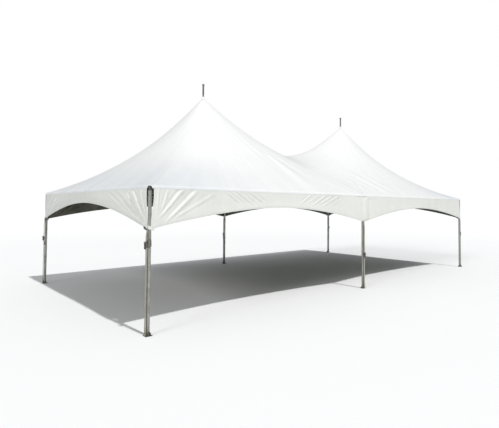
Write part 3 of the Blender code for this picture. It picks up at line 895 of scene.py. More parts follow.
def bolts(spots, head=0.008, height=0.006, washer=0.011, finish=None):
    """Hexagon heads as a stock. Each spot is a place and the way the head faces."""
    base = bpy.data.meshes.new("spots")
    base.from_pydata([tuple(place) for place, _ in spots], [], [])
    out = base.attributes.new("out", "FLOAT_VECTOR", "POINT")
    out.data.foreach_set("vector", [c for _, way in spots for c in way])
    mesh = grown(base, BOLT_SET, {"Head": head, "Height": height, "Washer": washer,
                                  "Finish": finish or CAST_METAL})
    shape = bmesh.new()
    shape.from_mesh(mesh)
    return stock_of(shape)


# The roof cloth


SPOKE_FIRST = 0.010
SPOKE_GROWTH = 1.28
SPOKE_WIDEST = 0.080
RINGS = 46
RING_EASE = 1.35
PEAK_RING = 0.045
HOOP_PULL = 0.98
HIP_PULL = 2.08
RIDGE_PULL = 7.86
VALLEY_PULL = 0.88
COARSE_SIDE = 10
COARSE_RINGS = 12
CORNER_HIP_SPREAD = 0.32
MIDDLE_HIP_SPREAD = 0.14
RIDGE_SPREAD = 0.12
CORNER_ROUND = 0.036
EAVE_ROLL = 0.030
CORNER_BAND_CUT = 0.90
SHEET = 0.0012
SHEET_BASE = 0.0026


def side_shares():
    """Shares along one side of a bay, from -1 to 1, close together at its corners."""
    gaps = [SPOKE_FIRST]
    while sum(gaps) < HALF_WIDTH:
        gaps.append(min(gaps[-1] * SPOKE_GROWTH, SPOKE_WIDEST))
    marks = np.cumsum([0.0] + gaps)
    marks /= marks[-1]
    return np.concatenate([marks - 1, 1 - marks[::-1][1:]])


def rounded_corner(x, y, edge_x, edge_y):
    """Moves a point on the rectangle's outline on to its rounded corner."""
    near_x = edge_x - abs(x)
    near_y = edge_y - abs(y)
    if max(near_x, near_y) >= CORNER_ROUND:
        return x, y
    far = max(near_x, near_y) / CORNER_ROUND
    turn = math.radians(45) * (1 - far)
    sink = CORNER_ROUND * (1 - math.cos(turn))
    slide = CORNER_ROUND * (1 - math.sin(turn))
    if near_y <= near_x:
        new_x, new_y = edge_x - slide, edge_y - sink
    else:
        new_x, new_y = edge_x - sink, edge_y - slide
    return math.copysign(new_x, x), math.copysign(new_y, y)


def settled(points, held, strips, pulls):
    """Moves the free points to where the pulls of their strips balance."""
    a, b = strips.T
    size = len(points)
    weight = np.bincount(a, pulls, size) + np.bincount(b, pulls, size)

    def unbalance(shape):
        out = weight[:, None] * shape
        for axis in range(3):
            out[:, axis] -= (np.bincount(a, pulls * shape[b, axis], size)
                             + np.bincount(b, pulls * shape[a, axis], size))
        out[held] = 0
        return out

    spot = points.copy()
    left = -unbalance(spot)
    scaled = left / weight[:, None]
    step = scaled.copy()
    energy = (left * scaled).sum(0)
    for _ in range(4000):
        pushed = unbalance(step)
        share = energy / np.maximum((step * pushed).sum(0), 1e-30)
        spot += share * step
        left -= share * pushed
        scaled = left / weight[:, None]
        fresh = (left * scaled).sum(0)
        if fresh.max() < 1e-12:
            break
        step = scaled + (fresh / np.maximum(energy, 1e-30)) * step
        energy = fresh
    return spot


def hip_distance(k, hip, sides, shares):
    """How far spoke k is from a corner's spoke, as a share of half a side."""
    side, step = divmod(k, sides)
    if side == hip:
        return shares[step] + 1
    if (side + 1) % 4 == hip:
        return 1 - shares[step]
    return 2.0


def canopy_net():
    """The roof as a net in balance: a fan of spokes in each bay, tied by rings."""
    shares = side_shares()
    ring_shares = 1 - (1 - np.arange(RINGS + 1) / RINGS) ** RING_EASE
    sides = len(shares) - 1
    spokes = 4 * sides
    edge_x = HALF_LENGTH + CLOTH_IN
    edge_y = HALF_WIDTH + CLOTH_IN
    points = []
    held = []
    valley = {}
    index = {}
    for bay, (low_x, high_x) in enumerate(((-edge_x, 0.0), (0.0, edge_x))):
        middle = Vector((-BAY / 2 if bay == 0 else BAY / 2, 0.0))
        for k in range(spokes):
            side, step = divmod(k, sides)
            t = shares[step]
            u, v = ((t, -1), (1, t), (-t, 1), (-1, -t))[side]
            far_x = high_x if u > 0 else low_x
            eave = Vector((far_x * abs(u) + middle.x * (1 - abs(u)), edge_y * v))
            eave = Vector(rounded_corner(eave.x, eave.y, edge_x, edge_y))
            turn = math.atan2(v, u)
            peak = middle + Vector((math.cos(turn), math.sin(turn))) * PEAK_RING
            for ring in range(RINGS + 1):
                share = ring_shares[ring]
                level = peak.lerp(eave, share)
                if ring < RINGS:
                    index[bay, ring, k] = len(points)
                    points.append((level.x, level.y, PEAK_Z + (EAVE_Z - PEAK_Z) * share))
                    held.append(ring == 0)
                    continue
                on_valley = abs(level.x) < 1e-6
                key = round(level.y, 5)
                if on_valley and key in valley:
                    index[bay, ring, k] = valley[key]
                    continue
                index[bay, ring, k] = len(points)
                points.append((level.x, level.y, EAVE_Z))
                held.append(abs(abs(level.y) - edge_y) < 1e-6 or not on_valley)
                if on_valley:
                    valley[key] = index[bay, ring, k]
    coarse_gap = 2 / COARSE_SIDE
    steps = np.diff(ring_shares) * COARSE_RINGS
    ahead = np.tile(np.diff(shares), 4)
    width = (ahead + np.roll(ahead, 1)) / 2
    strips = []
    pulls = []
    for bay in (0, 1):
        ridge_side = 1 if bay == 0 else 3
        middle_hips = (1, 2) if bay == 0 else (0, 3)
        hip_pull = np.zeros(spokes)
        for hip in range(4):
            spread = MIDDLE_HIP_SPREAD if hip in middle_hips else CORNER_HIP_SPREAD
            away = np.array([hip_distance(k, hip, sides, shares) for k in range(spokes)])
            hat = width * np.maximum(0, 1 - away / spread)
            hip_pull += HIP_PULL * hat / hat.sum()
        ridge = np.array([max(0, 1 - abs(shares[k % sides]) / RIDGE_SPREAD)
                          if k // sides == ridge_side else 0 for k in range(spokes)]) * width
        pull = width / coarse_gap + hip_pull + RIDGE_PULL * ridge / ridge.sum()
        for k in range(spokes):
            for ring in range(RINGS):
                strips.append((index[bay, ring, k], index[bay, ring + 1, k]))
                pulls.append(pull[k] / steps[ring])
            for ring in range(1, RINGS):
                strips.append((index[bay, ring, k], index[bay, ring, (k + 1) % spokes]))
                pulls.append(HOOP_PULL * coarse_gap / ahead[k]
                             * (steps[ring - 1] + steps[ring]) / 2)
    keys = sorted(valley)
    for low, high in zip(keys[:-1], keys[1:]):
        strips.append((valley[low], valley[high]))
        pulls.append(VALLEY_PULL * coarse_gap * HALF_WIDTH / (high - low))
    points = settled(np.array(points), np.array(held), np.array(strips), np.array(pulls))
    return points, index, sides


def smooth_step(value, low, high):
    t = np.clip((value - low) / (high - low), 0.0, 1.0)
    return t * t * (3 - 2 * t)


# Creases pulled into the roof: where each starts and ends in plan, its height and half width
ROOF_CREASES = [
    ((-5.92, -2.95), (-5.10, -1.90), 0.010, 0.060),
    ((-5.98, -2.85), (-5.45, -1.70), 0.009, 0.055),
    ((-6.02, -2.75), (-5.75, -1.55), 0.007, 0.050),
    ((-5.75, -3.00), (-4.10, -2.55), 0.007, 0.050),
    ((-6.08, -1.20), (-5.20, -0.72), 0.008, 0.060),
    ((-6.08, 0.10), (-5.10, 0.10), 0.008, 0.060),
    ((-2.14, -1.60), (-1.86, -2.80), 0.022, 0.180),
    ((0.06, -3.05), (0.52, -2.45), -0.014, 0.070),
    ((0.52, -3.05), (0.34, -2.05), 0.014, 0.085),
    ((0.94, -3.05), (0.60, -1.95), 0.018, 0.095),
    ((1.42, -3.05), (0.90, -1.85), 0.030, 0.115),
    ((1.98, -3.05), (1.45, -2.05), 0.016, 0.100),
    ((-0.16, -3.05), (-0.60, -2.40), -0.012, 0.070),
    ((-0.36, -3.05), (-1.25, -2.35), 0.010, 0.080),
    ((5.92, -2.95), (5.05, -2.00), 0.009, 0.060),
    ((5.85, -2.98), (4.55, -2.35), 0.007, 0.055),
    ((5.98, -2.85), (5.50, -1.75), 0.008, 0.055),
]


def crease_lift(x, y):
    """How far the roof stands out at a place in plan, for its creases and its slight waves."""
    lift = np.zeros_like(x)
    both_sides = ROOF_CREASES + [((-a[0], -a[1]), (-b[0], -b[1]), h, w)
                                 for a, b, h, w in ROOF_CREASES]
    for start, end, height, width in both_sides:
        run = np.array(end) - np.array(start)
        length = np.hypot(*run)
        run /= length
        along = (x - start[0]) * run[0] + (y - start[1]) * run[1]
        aside = (y - start[1]) * run[0] - (x - start[0]) * run[1]
        share = along / length
        spread = width * (0.45 + 0.75 * np.clip(share, 0, 1.3))
        fade = smooth_step(share, 0.0, 0.15) * (1 - smooth_step(share, 0.55, 1.15))
        lift += height * fade * (np.exp(-(aside / spread) ** 2)
                                 - 0.5 * np.exp(-((aside - 1.6 * spread) / spread) ** 2)
                                 - 0.4 * np.exp(-((aside + 1.6 * spread) / spread) ** 2))
    return lift


def corner_cut(edge):
    """How much of the eave band is cut away at a place on the eave, for the corners' slits."""
    corner = Vector((math.copysign(HALF_LENGTH + CLOTH_IN, edge.x),
                     math.copysign(HALF_WIDTH + CLOTH_IN, edge.y), EAVE_Z))
    return CORNER_BAND_CUT * float(smooth_step((edge - corner).length, SLIT_TOP + 0.008,
                                               SLIT_TOP - 0.025))


def middle_pinch(edge):
    """How far the eave band stands out at a place, for the puckers over the middle fittings."""
    if HALF_WIDTH - abs(edge.y) > 0.02:
        return 0.0
    return float(0.011 * np.exp(-((edge.x + 0.225) / 0.050) ** 2)
                 + 0.014 * np.exp(-((edge.x - 0.010) / 0.050) ** 2))


def canopy_cloth():
    """The whole roof as one curved sheet, rolled over the rails and down to the eave hem."""
    points, index, sides = canopy_net()
    spokes = 4 * sides
    loop = [(0, k % spokes) for k in range(2 * sides, 5 * sides)]
    loop += [(1, k) for k in range(0, 3 * sides)]
    edge_points = [Vector(points[index[bay, RINGS, k]]) for bay, k in loop]
    inner_points = [Vector(points[index[bay, RINGS - 1, k]]) for bay, k in loop]
    lift = crease_lift(points[:, 0], points[:, 1])
    shape_points = [Vector(p) for p in points]
    for i, extra in enumerate(lift):
        shape_points[i].z += extra
    runs = [(p[0], p[1]) for p in points]
    faces = []
    for bay in (0, 1):
        for k in range(spokes):
            n = (k + 1) % spokes
            for ring in range(RINGS):
                faces.append([index[bay, ring, k], index[bay, ring + 1, k],
                              index[bay, ring + 1, n], index[bay, ring, n]])
        middle = Vector((-BAY / 2 if bay == 0 else BAY / 2, 0, PEAK_Z))
        start = len(shape_points)
        for k in range(spokes):
            rim = shape_points[index[bay, 0, k]]
            shape_points.append(middle + (rim - middle).normalized() * (SPIKE_RADIUS + 0.0006))
            runs.append((shape_points[-1].x, shape_points[-1].y))
        for k in range(spokes):
            n = (k + 1) % spokes
            faces.append([start + k, index[bay, 0, k], index[bay, 0, n], start + n])
    rows = []
    travelled = 0.0
    lengths = []
    for i, edge in enumerate(edge_points):
        if i:
            travelled += (edge - edge_points[i - 1]).length
        lengths.append(travelled)
        back = (inner_points[i] - edge).normalized() * EAVE_ROLL
        down = Vector((0, 0, -EAVE_ROLL))
        bend = []
        for step in range(5):
            u = step / 4
            bend.append(edge + back * (1 - u) ** 2 + down * u ** 2)
        out = Vector((edge.x if HALF_LENGTH - abs(edge.x) < 0.02 else 0,
                      edge.y if HALF_WIDTH - abs(edge.y) < 0.02 else 0, 0)).normalized()
        left = 1 - corner_cut(edge)
        for z in (0.041, 0.0455, 0.047, EAVE_BAND):
            bend.append(edge - UP * z)
        for step, point in enumerate(bend):
            drop = (edge.z - point.z) * left
            point.z = edge.z - drop
            bend[step] = point + out * middle_pinch(edge) * min(drop / EAVE_ROLL, 1.0)
        rows.append(bend)
    columns = []
    for i, (bay, k) in enumerate(loop):
        top = index[bay, RINGS, k]
        shape_points[top] = rows[i][0]
        column = [top]
        for point in rows[i][1:]:
            column.append(len(shape_points))
            shape_points.append(point)
            runs.append((lengths[i], point.z))
        columns.append(column)
    for i in range(len(columns)):
        n = (i + 1) % len(columns)
        for low, high in zip(range(len(columns[i]) - 1), range(1, len(columns[i]))):
            faces.append([columns[i][low], columns[i][high], columns[n][high], columns[n][low]])

    def outward(middle):
        return Vector((middle.x * 0.02, middle.y * 0.04, 1.0)) if middle.z > EAVE_Z - 0.02 \
            else Vector((0.0, middle.y, 0.0)) if HALF_LENGTH - abs(middle.x) > 0.01 \
            else Vector((middle.x, middle.y, 0.0))

    mesh = sheet_mesh("canopy", shape_points, faces, runs, outward)
    shape = bmesh.new()
    shape.from_mesh(mesh)
    shape.normal_update()
    for vert in shape.verts:
        vert.co += vert.normal * SHEET_BASE
    shape.to_mesh(mesh)
    shape.free()
    cloth = piece("canopy_cloth", thickened(mesh, SHEET), ROOF_VINYL,
                  ["canopy"], angle=50)
    seam = [edge.copy() for edge in edge_points]
    line = []
    for i, edge in enumerate(seam):
        before = seam[i - 1]
        after = seam[(i + 1) % len(seam)]
        way = (after - before).normalized()
        out = Vector((way.y, -way.x, 0))
        if out.dot(Vector((edge.x, edge.y * 2, 0))) < 0:
            out.negate()
        drop = 0.0435 * (1 - corner_cut(edge))
        line.append(edge + out * (SHEET_BASE + SHEET + 0.0004 + middle_pinch(edge)) - UP * drop)
    line.append(line[0])
    thread = stitches("eave_seam_stitches", [line], THREAD)
    return declared(cloth)


CANOPY = canopy_cloth()


# The valances


TOP_Z = EAVE_Z - 0.040
HEM = 0.040
HEM_ROWS = (0.0, 0.003, 0.014, 0.026, HEM - 0.001, HEM + 0.001, HEM + 0.003, HEM + 0.010)
HEM_STITCH = HEM - 0.006
CLOSE_STEP = 0.006
CLOSE_REACH = 0.25
BODY_ROWS = 36
COLUMN_STEP = 0.017
VALANCE_BASE = 0.0322
HEM_PROUD = 0.0016


class Folds:
    """Folds of one valance: each runs from near a leg's lower corner up to the eave."""

    def __init__(self, seed):
        self.rolls = random.Random(seed)
        self.list = []

    def add(self, foot, head, height, width, trough=0.7):
        self.list.append((foot, head, height, width, trough))
        return self

    def fan(self, corner, way, strength=1.0):
        """A fan of folds out of a corner, with its own small changes."""
        for foot, head, height, width in CORNER_FAN:
            shake = self.rolls.uniform
            self.add((corner + way * (foot[0] + shake(-0.02, 0.03)), foot[1]),
                     (corner + way * (head[0] + shake(-0.10, 0.12)), head[1]),
                     height * strength * shake(0.6, 1.15), width * shake(0.85, 1.2),
                     shake(0.5, 0.9))
        return self

    def cross(self, centre, lean, count, reach, height):
        """A few fine slanting folds side by side."""
        shake = self.rolls.uniform
        for i in range(count):
            s = centre + (i - count / 2) * reach / count + shake(-0.05, 0.05)
            self.add((s, 2.15 + shake(-0.02, 0.03)),
                     (s + lean * shake(0.35, 0.5), 2.41), height * shake(0.5, 1.2),
                     shake(0.018, 0.028), shake(0.5, 1.0))
        return self

    def depth(self, s, z):
        total = np.zeros_like(s)
        for foot, head, height, width, trough in self.list:
            run = np.array((head[0] - foot[0], head[1] - foot[1]))
            length = np.hypot(*run)
            run /= length
            along = (s - foot[0]) * run[0] + (z - foot[1]) * run[1]
            aside = (z - foot[1]) * run[0] - (s - foot[0]) * run[1]
            share = along / length
            spread = width * (0.62 + 0.5 * np.clip(share, 0, 1.2))
            fade = smooth_step(share, -0.15, 0.30) * (1 - smooth_step(share, 0.82, 1.12))
            total += height * fade * (np.exp(-(aside / spread) ** 2)
                                      - trough * np.exp(-((aside - 1.55 * spread) / spread) ** 2)
                                      - 0.5 * np.exp(-((aside + 1.55 * spread) / spread) ** 2))
        return total


# Folds out of a lower corner: foot and head as distance from the leg and height
CORNER_FAN = [
    ((0.114, 2.00), (0.143, 2.44), 0.008, 0.020),
    ((0.195, 2.03), (0.335, 2.45), 0.010, 0.024),
    ((0.188, 1.96), (0.630, 2.44), 0.022, 0.034),
    ((0.300, 1.88), (0.900, 2.40), 0.018, 0.037),
    ((0.400, 1.90), (1.250, 2.34), 0.008, 0.032),
]
# Folds of the left end out of the same corner
END_FAN = [
    ((0.050, 2.00), (0.110, 2.43), 0.006, 0.020),
    ((0.085, 1.98), (0.290, 2.43), 0.012, 0.024),
    ((0.128, 1.94), (0.620, 2.43), 0.027, 0.037),
    ((0.230, 1.88), (0.860, 2.38), 0.020, 0.038),
    ((0.330, 1.91), (1.300, 2.36), 0.014, 0.038),
    ((0.620, 1.98), (1.700, 2.40), 0.006, 0.036),
]
# Slanting folds in the middle of the left front bay, in two groups
MIDDLE_FOLDS = [
    ((1.888, 2.190), (1.540, 2.415), 0.011, 0.020),
    ((2.050, 2.180), (1.700, 2.410), 0.008, 0.018),
    ((2.224, 2.165), (1.820, 2.420), 0.011, 0.020),
    ((2.380, 2.185), (1.990, 2.420), 0.008, 0.018),
    ((2.540, 2.195), (2.120, 2.430), 0.011, 0.020),
    ((2.720, 2.190), (2.330, 2.420), 0.007, 0.018),
    ((3.614, 2.180), (4.060, 2.450), 0.011, 0.022),
    ((3.810, 2.180), (4.330, 2.440), 0.008, 0.020),
    ((4.022, 2.150), (4.610, 2.450), 0.012, 0.022),
    ((4.200, 2.145), (4.840, 2.430), 0.008, 0.020),
    ((4.380, 2.130), (5.080, 2.430), 0.011, 0.022),
    ((4.620, 2.110), (5.300, 2.400), 0.006, 0.020),
]


def arch_bottom(s, length, crest):
    """Height of the lower edge at a distance along a bay, a little rounded at its tips."""
    v = np.clip(np.abs(2 * s / length - 1), 0, 1)
    return crest - (crest - VALANCE_LEG_Z) * v ** ARCH_POWER


def column_shares(length, bays):
    """Where a valance's columns stand, from 0 to 1, closer together near the legs."""
    marks = [0.0]
    while marks[-1] < length / bays / 2:
        near = marks[-1] < CLOSE_REACH
        marks.append(marks[-1] + (CLOSE_STEP if near else COLUMN_STEP))
    half = np.array(marks) / marks[-1] / 2
    bay = np.concatenate([half, 1 - half[::-1][1:]])
    return np.concatenate([(bay[:-1] + n) / bays for n in range(bays)] + [[1.0]])


def valance_grid(length, bays, crest, folds):
    """Points of a valance in its own plane: distance along, height, and depth outward."""
    share = column_shares(length, bays)
    low_s = SLIT_BOTTOM + share * (length - 2 * SLIT_BOTTOM)
    bay_length = length / bays
    bottom = arch_bottom(np.mod(low_s, bay_length), bay_length, crest)
    tip = np.abs(np.mod(low_s + bay_length / 2, bay_length) - bay_length / 2)
    inner_tip = (tip < 0.06) & (low_s > 0.5) & (low_s < length - 0.5)
    bottom = np.where(inner_tip, bottom + 0.012 * (1 - tip / 0.06) ** 2, bottom)
    tall = TOP_Z - bottom
    rows = []
    for rise in HEM_ROWS:
        rows.append(bottom + rise)
    for step in range(1, BODY_ROWS + 1):
        part = step / BODY_ROWS
        rows.append(bottom + HEM_ROWS[-1] + (tall - HEM_ROWS[-1]) * part)
    z = np.array(rows)
    v = (z - bottom) / tall
    slit = SLIT_BOTTOM + (SLIT_TOP - SLIT_BOTTOM) * smooth_step(z, 1.84, 2.30)
    s = slit + share * (length - 2 * slit)
    depth = folds.depth(s, z)
    hold = 1 - smooth_step(z, TOP_Z - 0.045, TOP_Z - 0.004)
    leg_near = np.minimum(np.abs(s), np.abs(length - s))
    if bays > 1:
        leg_near = np.minimum(leg_near, np.abs(s - length / 2))
    slack = 0.006 * np.sin(s * 2.1 + 0.6) * np.sin((TOP_Z - z) * 4.0)
    flare = 0.010 * smooth_step(v, 0.5, 0.0)
    depth = (depth + slack + flare) * hold
    floor = np.where(leg_near < 0.055, 0.0, -0.012 * hold)
    depth = np.maximum(depth, floor)
    near_tip = smooth_step(leg_near, 0.13, 0.02)
    depth = depth * (1 - 0.85 * near_tip)
    if bays > 1:
        aside = s - length / 2
        lap = 0.022 * smooth_step(aside, -0.07, 0.05) - 0.038 * smooth_step(aside, 0.10, 0.27)
        lap += 0.016 * smooth_step(aside, 0.30, 0.75)
        depth += smooth_step(z, 2.40, 2.33) * smooth_step(v, 0.0, 0.12) * lap
    below_seam = np.exp(-np.maximum(TOP_Z - 0.012 - z, 0) / 0.07)
    gathers = np.sin(s * 75 + 1.3 * np.sin(s * 9.0)) * (0.55 + 0.45 * np.sin(s * 3.1 + 1.0))
    depth += 0.0030 * hold * below_seam * gathers
    hem = (z - bottom) < HEM
    depth = depth + np.where(hem, HEM_PROUD, 0.0)
    return s, z, depth, hem


def valance_cloth(name, start, along, out, length, bays, crest, folds, nodes):
    """One valance as a single sheet from one corner slit to the other."""
    s, z, depth, hem = valance_grid(length, bays, crest, folds)
    start = Vector(start)
    along = Vector(along)
    out = Vector(out)
    rows, columns = s.shape
    points = []
    runs = []
    for i in range(rows):
        for k in range(columns):
            spot = start + along * s[i, k] + out * (VALANCE_BASE + depth[i, k])
            spot.z = z[i, k]
            points.append(spot)
            runs.append((s[i, k], z[i, k]))
    faces = [[i * columns + k, i * columns + k + 1, (i + 1) * columns + k + 1,
              (i + 1) * columns + k] for i in range(rows - 1) for k in range(columns - 1)]
    mesh = sheet_mesh(name, points, faces, runs, lambda middle: out)
    doubled = mesh.attributes.new("doubled", "FLOAT", "POINT")
    doubled.data.foreach_set("value", hem.astype(np.float32).ravel())
    cloth = piece(name, thickened(mesh, SHEET), VALANCE_VINYL, nodes, angle=50)
    proud = out * (SHEET + 0.0003)
    low, high = points[3 * columns:4 * columns], points[4 * columns:5 * columns]
    mix = (HEM_STITCH - HEM_ROWS[3]) / (HEM_ROWS[4] - HEM_ROWS[3])
    line = [a.lerp(b, mix) + proud for a, b in zip(low, high)]
    sides = [[points[i * columns + k] + proud for i in range(4, rows - 2)]
             for k in (2, columns - 3)]
    thread = stitches(name + "_stitches", [line] + sides, THREAD)
    declared(cloth)


def all_valances():
    length = 2 * HALF_LENGTH
    width = 2 * HALF_WIDTH
    front = Folds(11)
    for foot, head, height, tall in CORNER_FAN:
        front.add(foot, head, height, tall)
    for foot, head, height, tall in MIDDLE_FOLDS:
        front.add(foot, head, height, tall)
    front.cross(7.30, -1, 4, 1.0, 0.004)
    front.cross(9.60, 1, 3, 0.8, 0.004)
    front.add((BAY + 0.20, 1.90), (BAY + 0.42, 2.42), 0.006, 0.024)
    front.add((BAY - 0.22, 1.90), (BAY - 0.40, 2.42), 0.005, 0.024)
    front.fan(length, -1, 0.45)
    back = Folds(23).fan(0.0, 1, 0.8).fan(length, -1, 0.9)
    back.cross(2.3, 1, 4, 1.0, 0.005)
    back.cross(8.9, -1, 5, 1.2, 0.005)
    left = Folds(37)
    for foot, head, height, tall in END_FAN:
        left.add(foot, head, height, tall)
    left.fan(width, -1, 0.5)
    right = Folds(41).fan(0.0, 1, 0.7).fan(width, -1, 0.8)
    right.cross(3.0, 1, 3, 0.8, 0.004)
    corner = {"a": (-HALF_LENGTH, -HALF_WIDTH, 0), "b": (-HALF_LENGTH, HALF_WIDTH, 0),
              "f": (HALF_LENGTH, -HALF_WIDTH, 0)}
    valance_cloth("valance_cloth_front", corner["a"], (1, 0, 0), (0, -1, 0), length, 2,
                  SIDE_CREST_Z, front, ["valance_front_left", "valance_front_right"])
    valance_cloth("valance_cloth_back", corner["b"], (1, 0, 0), (0, 1, 0), length, 2,
                  SIDE_CREST_Z, back, ["valance_back_left", "valance_back_right"])
    valance_cloth("valance_cloth_left_end", corner["a"], (0, 1, 0), (-1, 0, 0), width, 1,
                  END_CREST_Z, left, ["valance_left_end"])
    valance_cloth("valance_cloth_right_end", corner["f"], (0, 1, 0), (1, 0, 0), width, 1,
                  END_CREST_Z, right, ["valance_right_end"])


all_valances()


# The frame: poles, feet, fittings, masts and cables


def poles():
    """Six legs with an eased rim at each end and the spring button that locks the fitting."""
    top = RAIL_Z - SOCKET_DROP - 0.0006
    low = FOOT_THICKNESS + 0.0004
    profile = [(0, low), (LEG_RADIUS - 0.003, low), (LEG_RADIUS - 0.0012, low + 0.0004),
               (LEG_RADIUS, low + 0.0016)]
    profile += [(LEG_RADIUS, low + (top - low) * k / 12) for k in range(1, 12)]
    profile += [(LEG_RADIUS, top - 0.0016), (LEG_RADIUS - 0.0012, top - 0.0004),
                (LEG_RADIUS - 0.003, top), (0, top)]
    for place, (x, y, turn) in LEG_PLACES.items():
        pole = lathe(profile, 48)
        spot = Matrix.Rotation(math.radians(turn + 45), 4, "Z")
        button = lathe([(0, 0), (0.0055, 0), (0.0055, 0.004), (0.004, 0.0062), (0, 0.007)], 16)
        for z in (top - 0.05, top - 0.85):
            way = spot @ Vector((1, 0, 0))
            pole.join(button, at(0, 0, z) @ at(*(way * (LEG_RADIUS - 0.0015)))
                      @ turned_to(way))
        moved = Stock().join(pole, at(x, y, 0))
        piece("pole_" + place, moved, TUBE_UPRIGHT, ["leg_" + place])


def bead(path, radius, seed, sides=8, ring=False):
    """A weld bead: a round section whose size comes and goes."""
    rolls = random.Random(seed)
    made = sweep(path, round_section(radius, sides), ring=ring)
    for i in range(len(path)):
        swell = 1 + 0.18 * math.sin(i * 1.9) + rolls.uniform(-0.06, 0.06)
        centre = Vector(path[i])
        for k in range(sides):
            n = i * sides + k
            made.points[n] = centre + (made.points[n] - centre) * swell
    return made


def circle(radius, z, steps=36):
    return [Vector((radius * math.cos(2 * math.pi * k / steps),
                    radius * math.sin(2 * math.pi * k / steps), z)) for k in range(steps)]


def tie_ring(y):
    """A bent rod with both ends on the plate."""
    base = FOOT_THICKNESS - 0.001
    path = [Vector((TIE_RING_RADIUS, y, base)), Vector((TIE_RING_RADIUS, y, base + 0.014))]
    for j in range(17):
        turn = math.pi * j / 16
        path.append(Vector((TIE_RING_RADIUS * math.cos(turn), y,
                            base + 0.030 + TIE_RING_RADIUS * math.sin(turn))))
    path += [Vector((-TIE_RING_RADIUS, y, base + 0.014)), Vector((-TIE_RING_RADIUS, y, base))]
    made = sweep(path, round_section(TIE_RING_ROD, 14), ups=[Vector((0, 1, 0))] * len(path))
    for x in (TIE_RING_RADIUS, -TIE_RING_RADIUS):
        made.join(bead([p + Vector((x, y, 0)) for p in circle(TIE_RING_ROD + 0.001,
                                                              FOOT_THICKNESS + 0.0008, 16)],
                       0.0022, 5, 6, True))
    return made


def foot_stock():
    """Plate with stake holes, collar, gussets and strap lug. The lug faces +X."""
    half = FOOT_WIDTH / 2
    clip = 0.010
    outline = [(half - clip, -half), (half, -half + clip), (half, half - clip),
               (half - clip, half), (-half + clip, half), (-half, half - clip),
               (-half, -half + clip), (-half + clip, -half)]
    body = Stock().join(plate(outline, FOOT_THICKNESS, 0.0012), at(0, 0, FOOT_THICKNESS / 2))
    reach = half - 0.0135
    holes = [rod((x, y, -0.01), (x, y, 0.03), 0.0070, 24)
             for x in (-reach, reach) for y in (-reach, reach)]
    made = bored(body, holes)
    inner = LEG_RADIUS + 0.0003
    outer = inner + 0.0045
    made.join(lathe([(inner, FOOT_THICKNESS - 0.001), (outer, FOOT_THICKNESS - 0.001),
                     (outer, COLLAR_TOP_Z - 0.0015), (outer - 0.0015, COLLAR_TOP_Z),
                     (inner + 0.0015, COLLAR_TOP_Z), (inner, COLLAR_TOP_Z - 0.0015)],
                    48, hollow=True))
    made.join(bead(circle(outer + 0.001, FOOT_THICKNESS + 0.001), 0.003, 3, 8, True))
    rib = plate([(0.0, 0.0), (0.020, 0.0), (0.020, 0.004), (0.004, 0.034), (0.0, 0.034)],
                0.005, 0.0006)
    upright = Matrix.Rotation(math.radians(90), 4, "X")
    for turn in (45, 135, 225, 315):
        made.join(rib, Matrix.Rotation(math.radians(turn), 4, "Z")
                  @ at(outer - 0.001, 0, FOOT_THICKNESS - 0.0005) @ upright)
    lug_face = STRAP_OUT - 0.002 - 0.0003
    lug = [(-0.028, 0.0), (0.028, 0.0), (0.028, 0.064), (0.020, 0.0775), (-0.020, 0.0775),
           (-0.028, 0.064)]
    stand = Matrix.Rotation(math.radians(90), 4, "Z") @ upright
    made.join(plate(lug, 0.006, 0.001), at(lug_face - 0.003, 0, FOOT_THICKNESS - 0.0005) @ stand)
    made.join(bolts([((-outer, 0, 0.036), (-1, 0, 0)), ((STRAP_OUT + 0.0052, 0, 0.052),
                                                         (1, 0, 0))],
                    0.0085, 0.006, 0.012, FOOT_STEEL))
    return made


def feet():
    foot = foot_stock()
    for place, (x, y, _) in LEG_PLACES.items():
        side = -1 if place in ("front_right", "back_left") else 1
        spot = at(x, y, 0) @ Matrix.Rotation(math.radians(OUTWARD[place]), 4, "Z")
        piece("foot_" + place, Stock().join(foot, spot), FOOT_STEEL,
              ["foot_plate_" + place])
        ring = tie_ring(side * (FOOT_WIDTH / 2 - 2 * TIE_RING_ROD))
        piece("tie_ring_" + place, Stock().join(ring, spot), RING_STEEL)


SLEEVE_TOP_Z = RAIL_Z - 0.0525


def sleeve_stock():
    """The tube sleeve under a casting, with a lip and one bolt head."""
    low = RAIL_Z - SOCKET_DROP
    grip = LEG_RADIUS - 0.0002
    made = lathe([(0, low), (grip - 0.002, low), (grip, low + 0.002), (grip, low + 0.012),
                  (grip - 0.0012, low + 0.0135), (grip - 0.0012, SLEEVE_TOP_Z - 0.0004),
                  (0, SLEEVE_TOP_Z - 0.0004)], 40)
    way = Vector((1, 1, 0)).normalized()
    made.join(bolts([(way * (grip - 0.001) + UP * (low + 0.060), tuple(way))],
                    0.0060, 0.0045, 0.0085, TUBE_UPRIGHT))
    return made


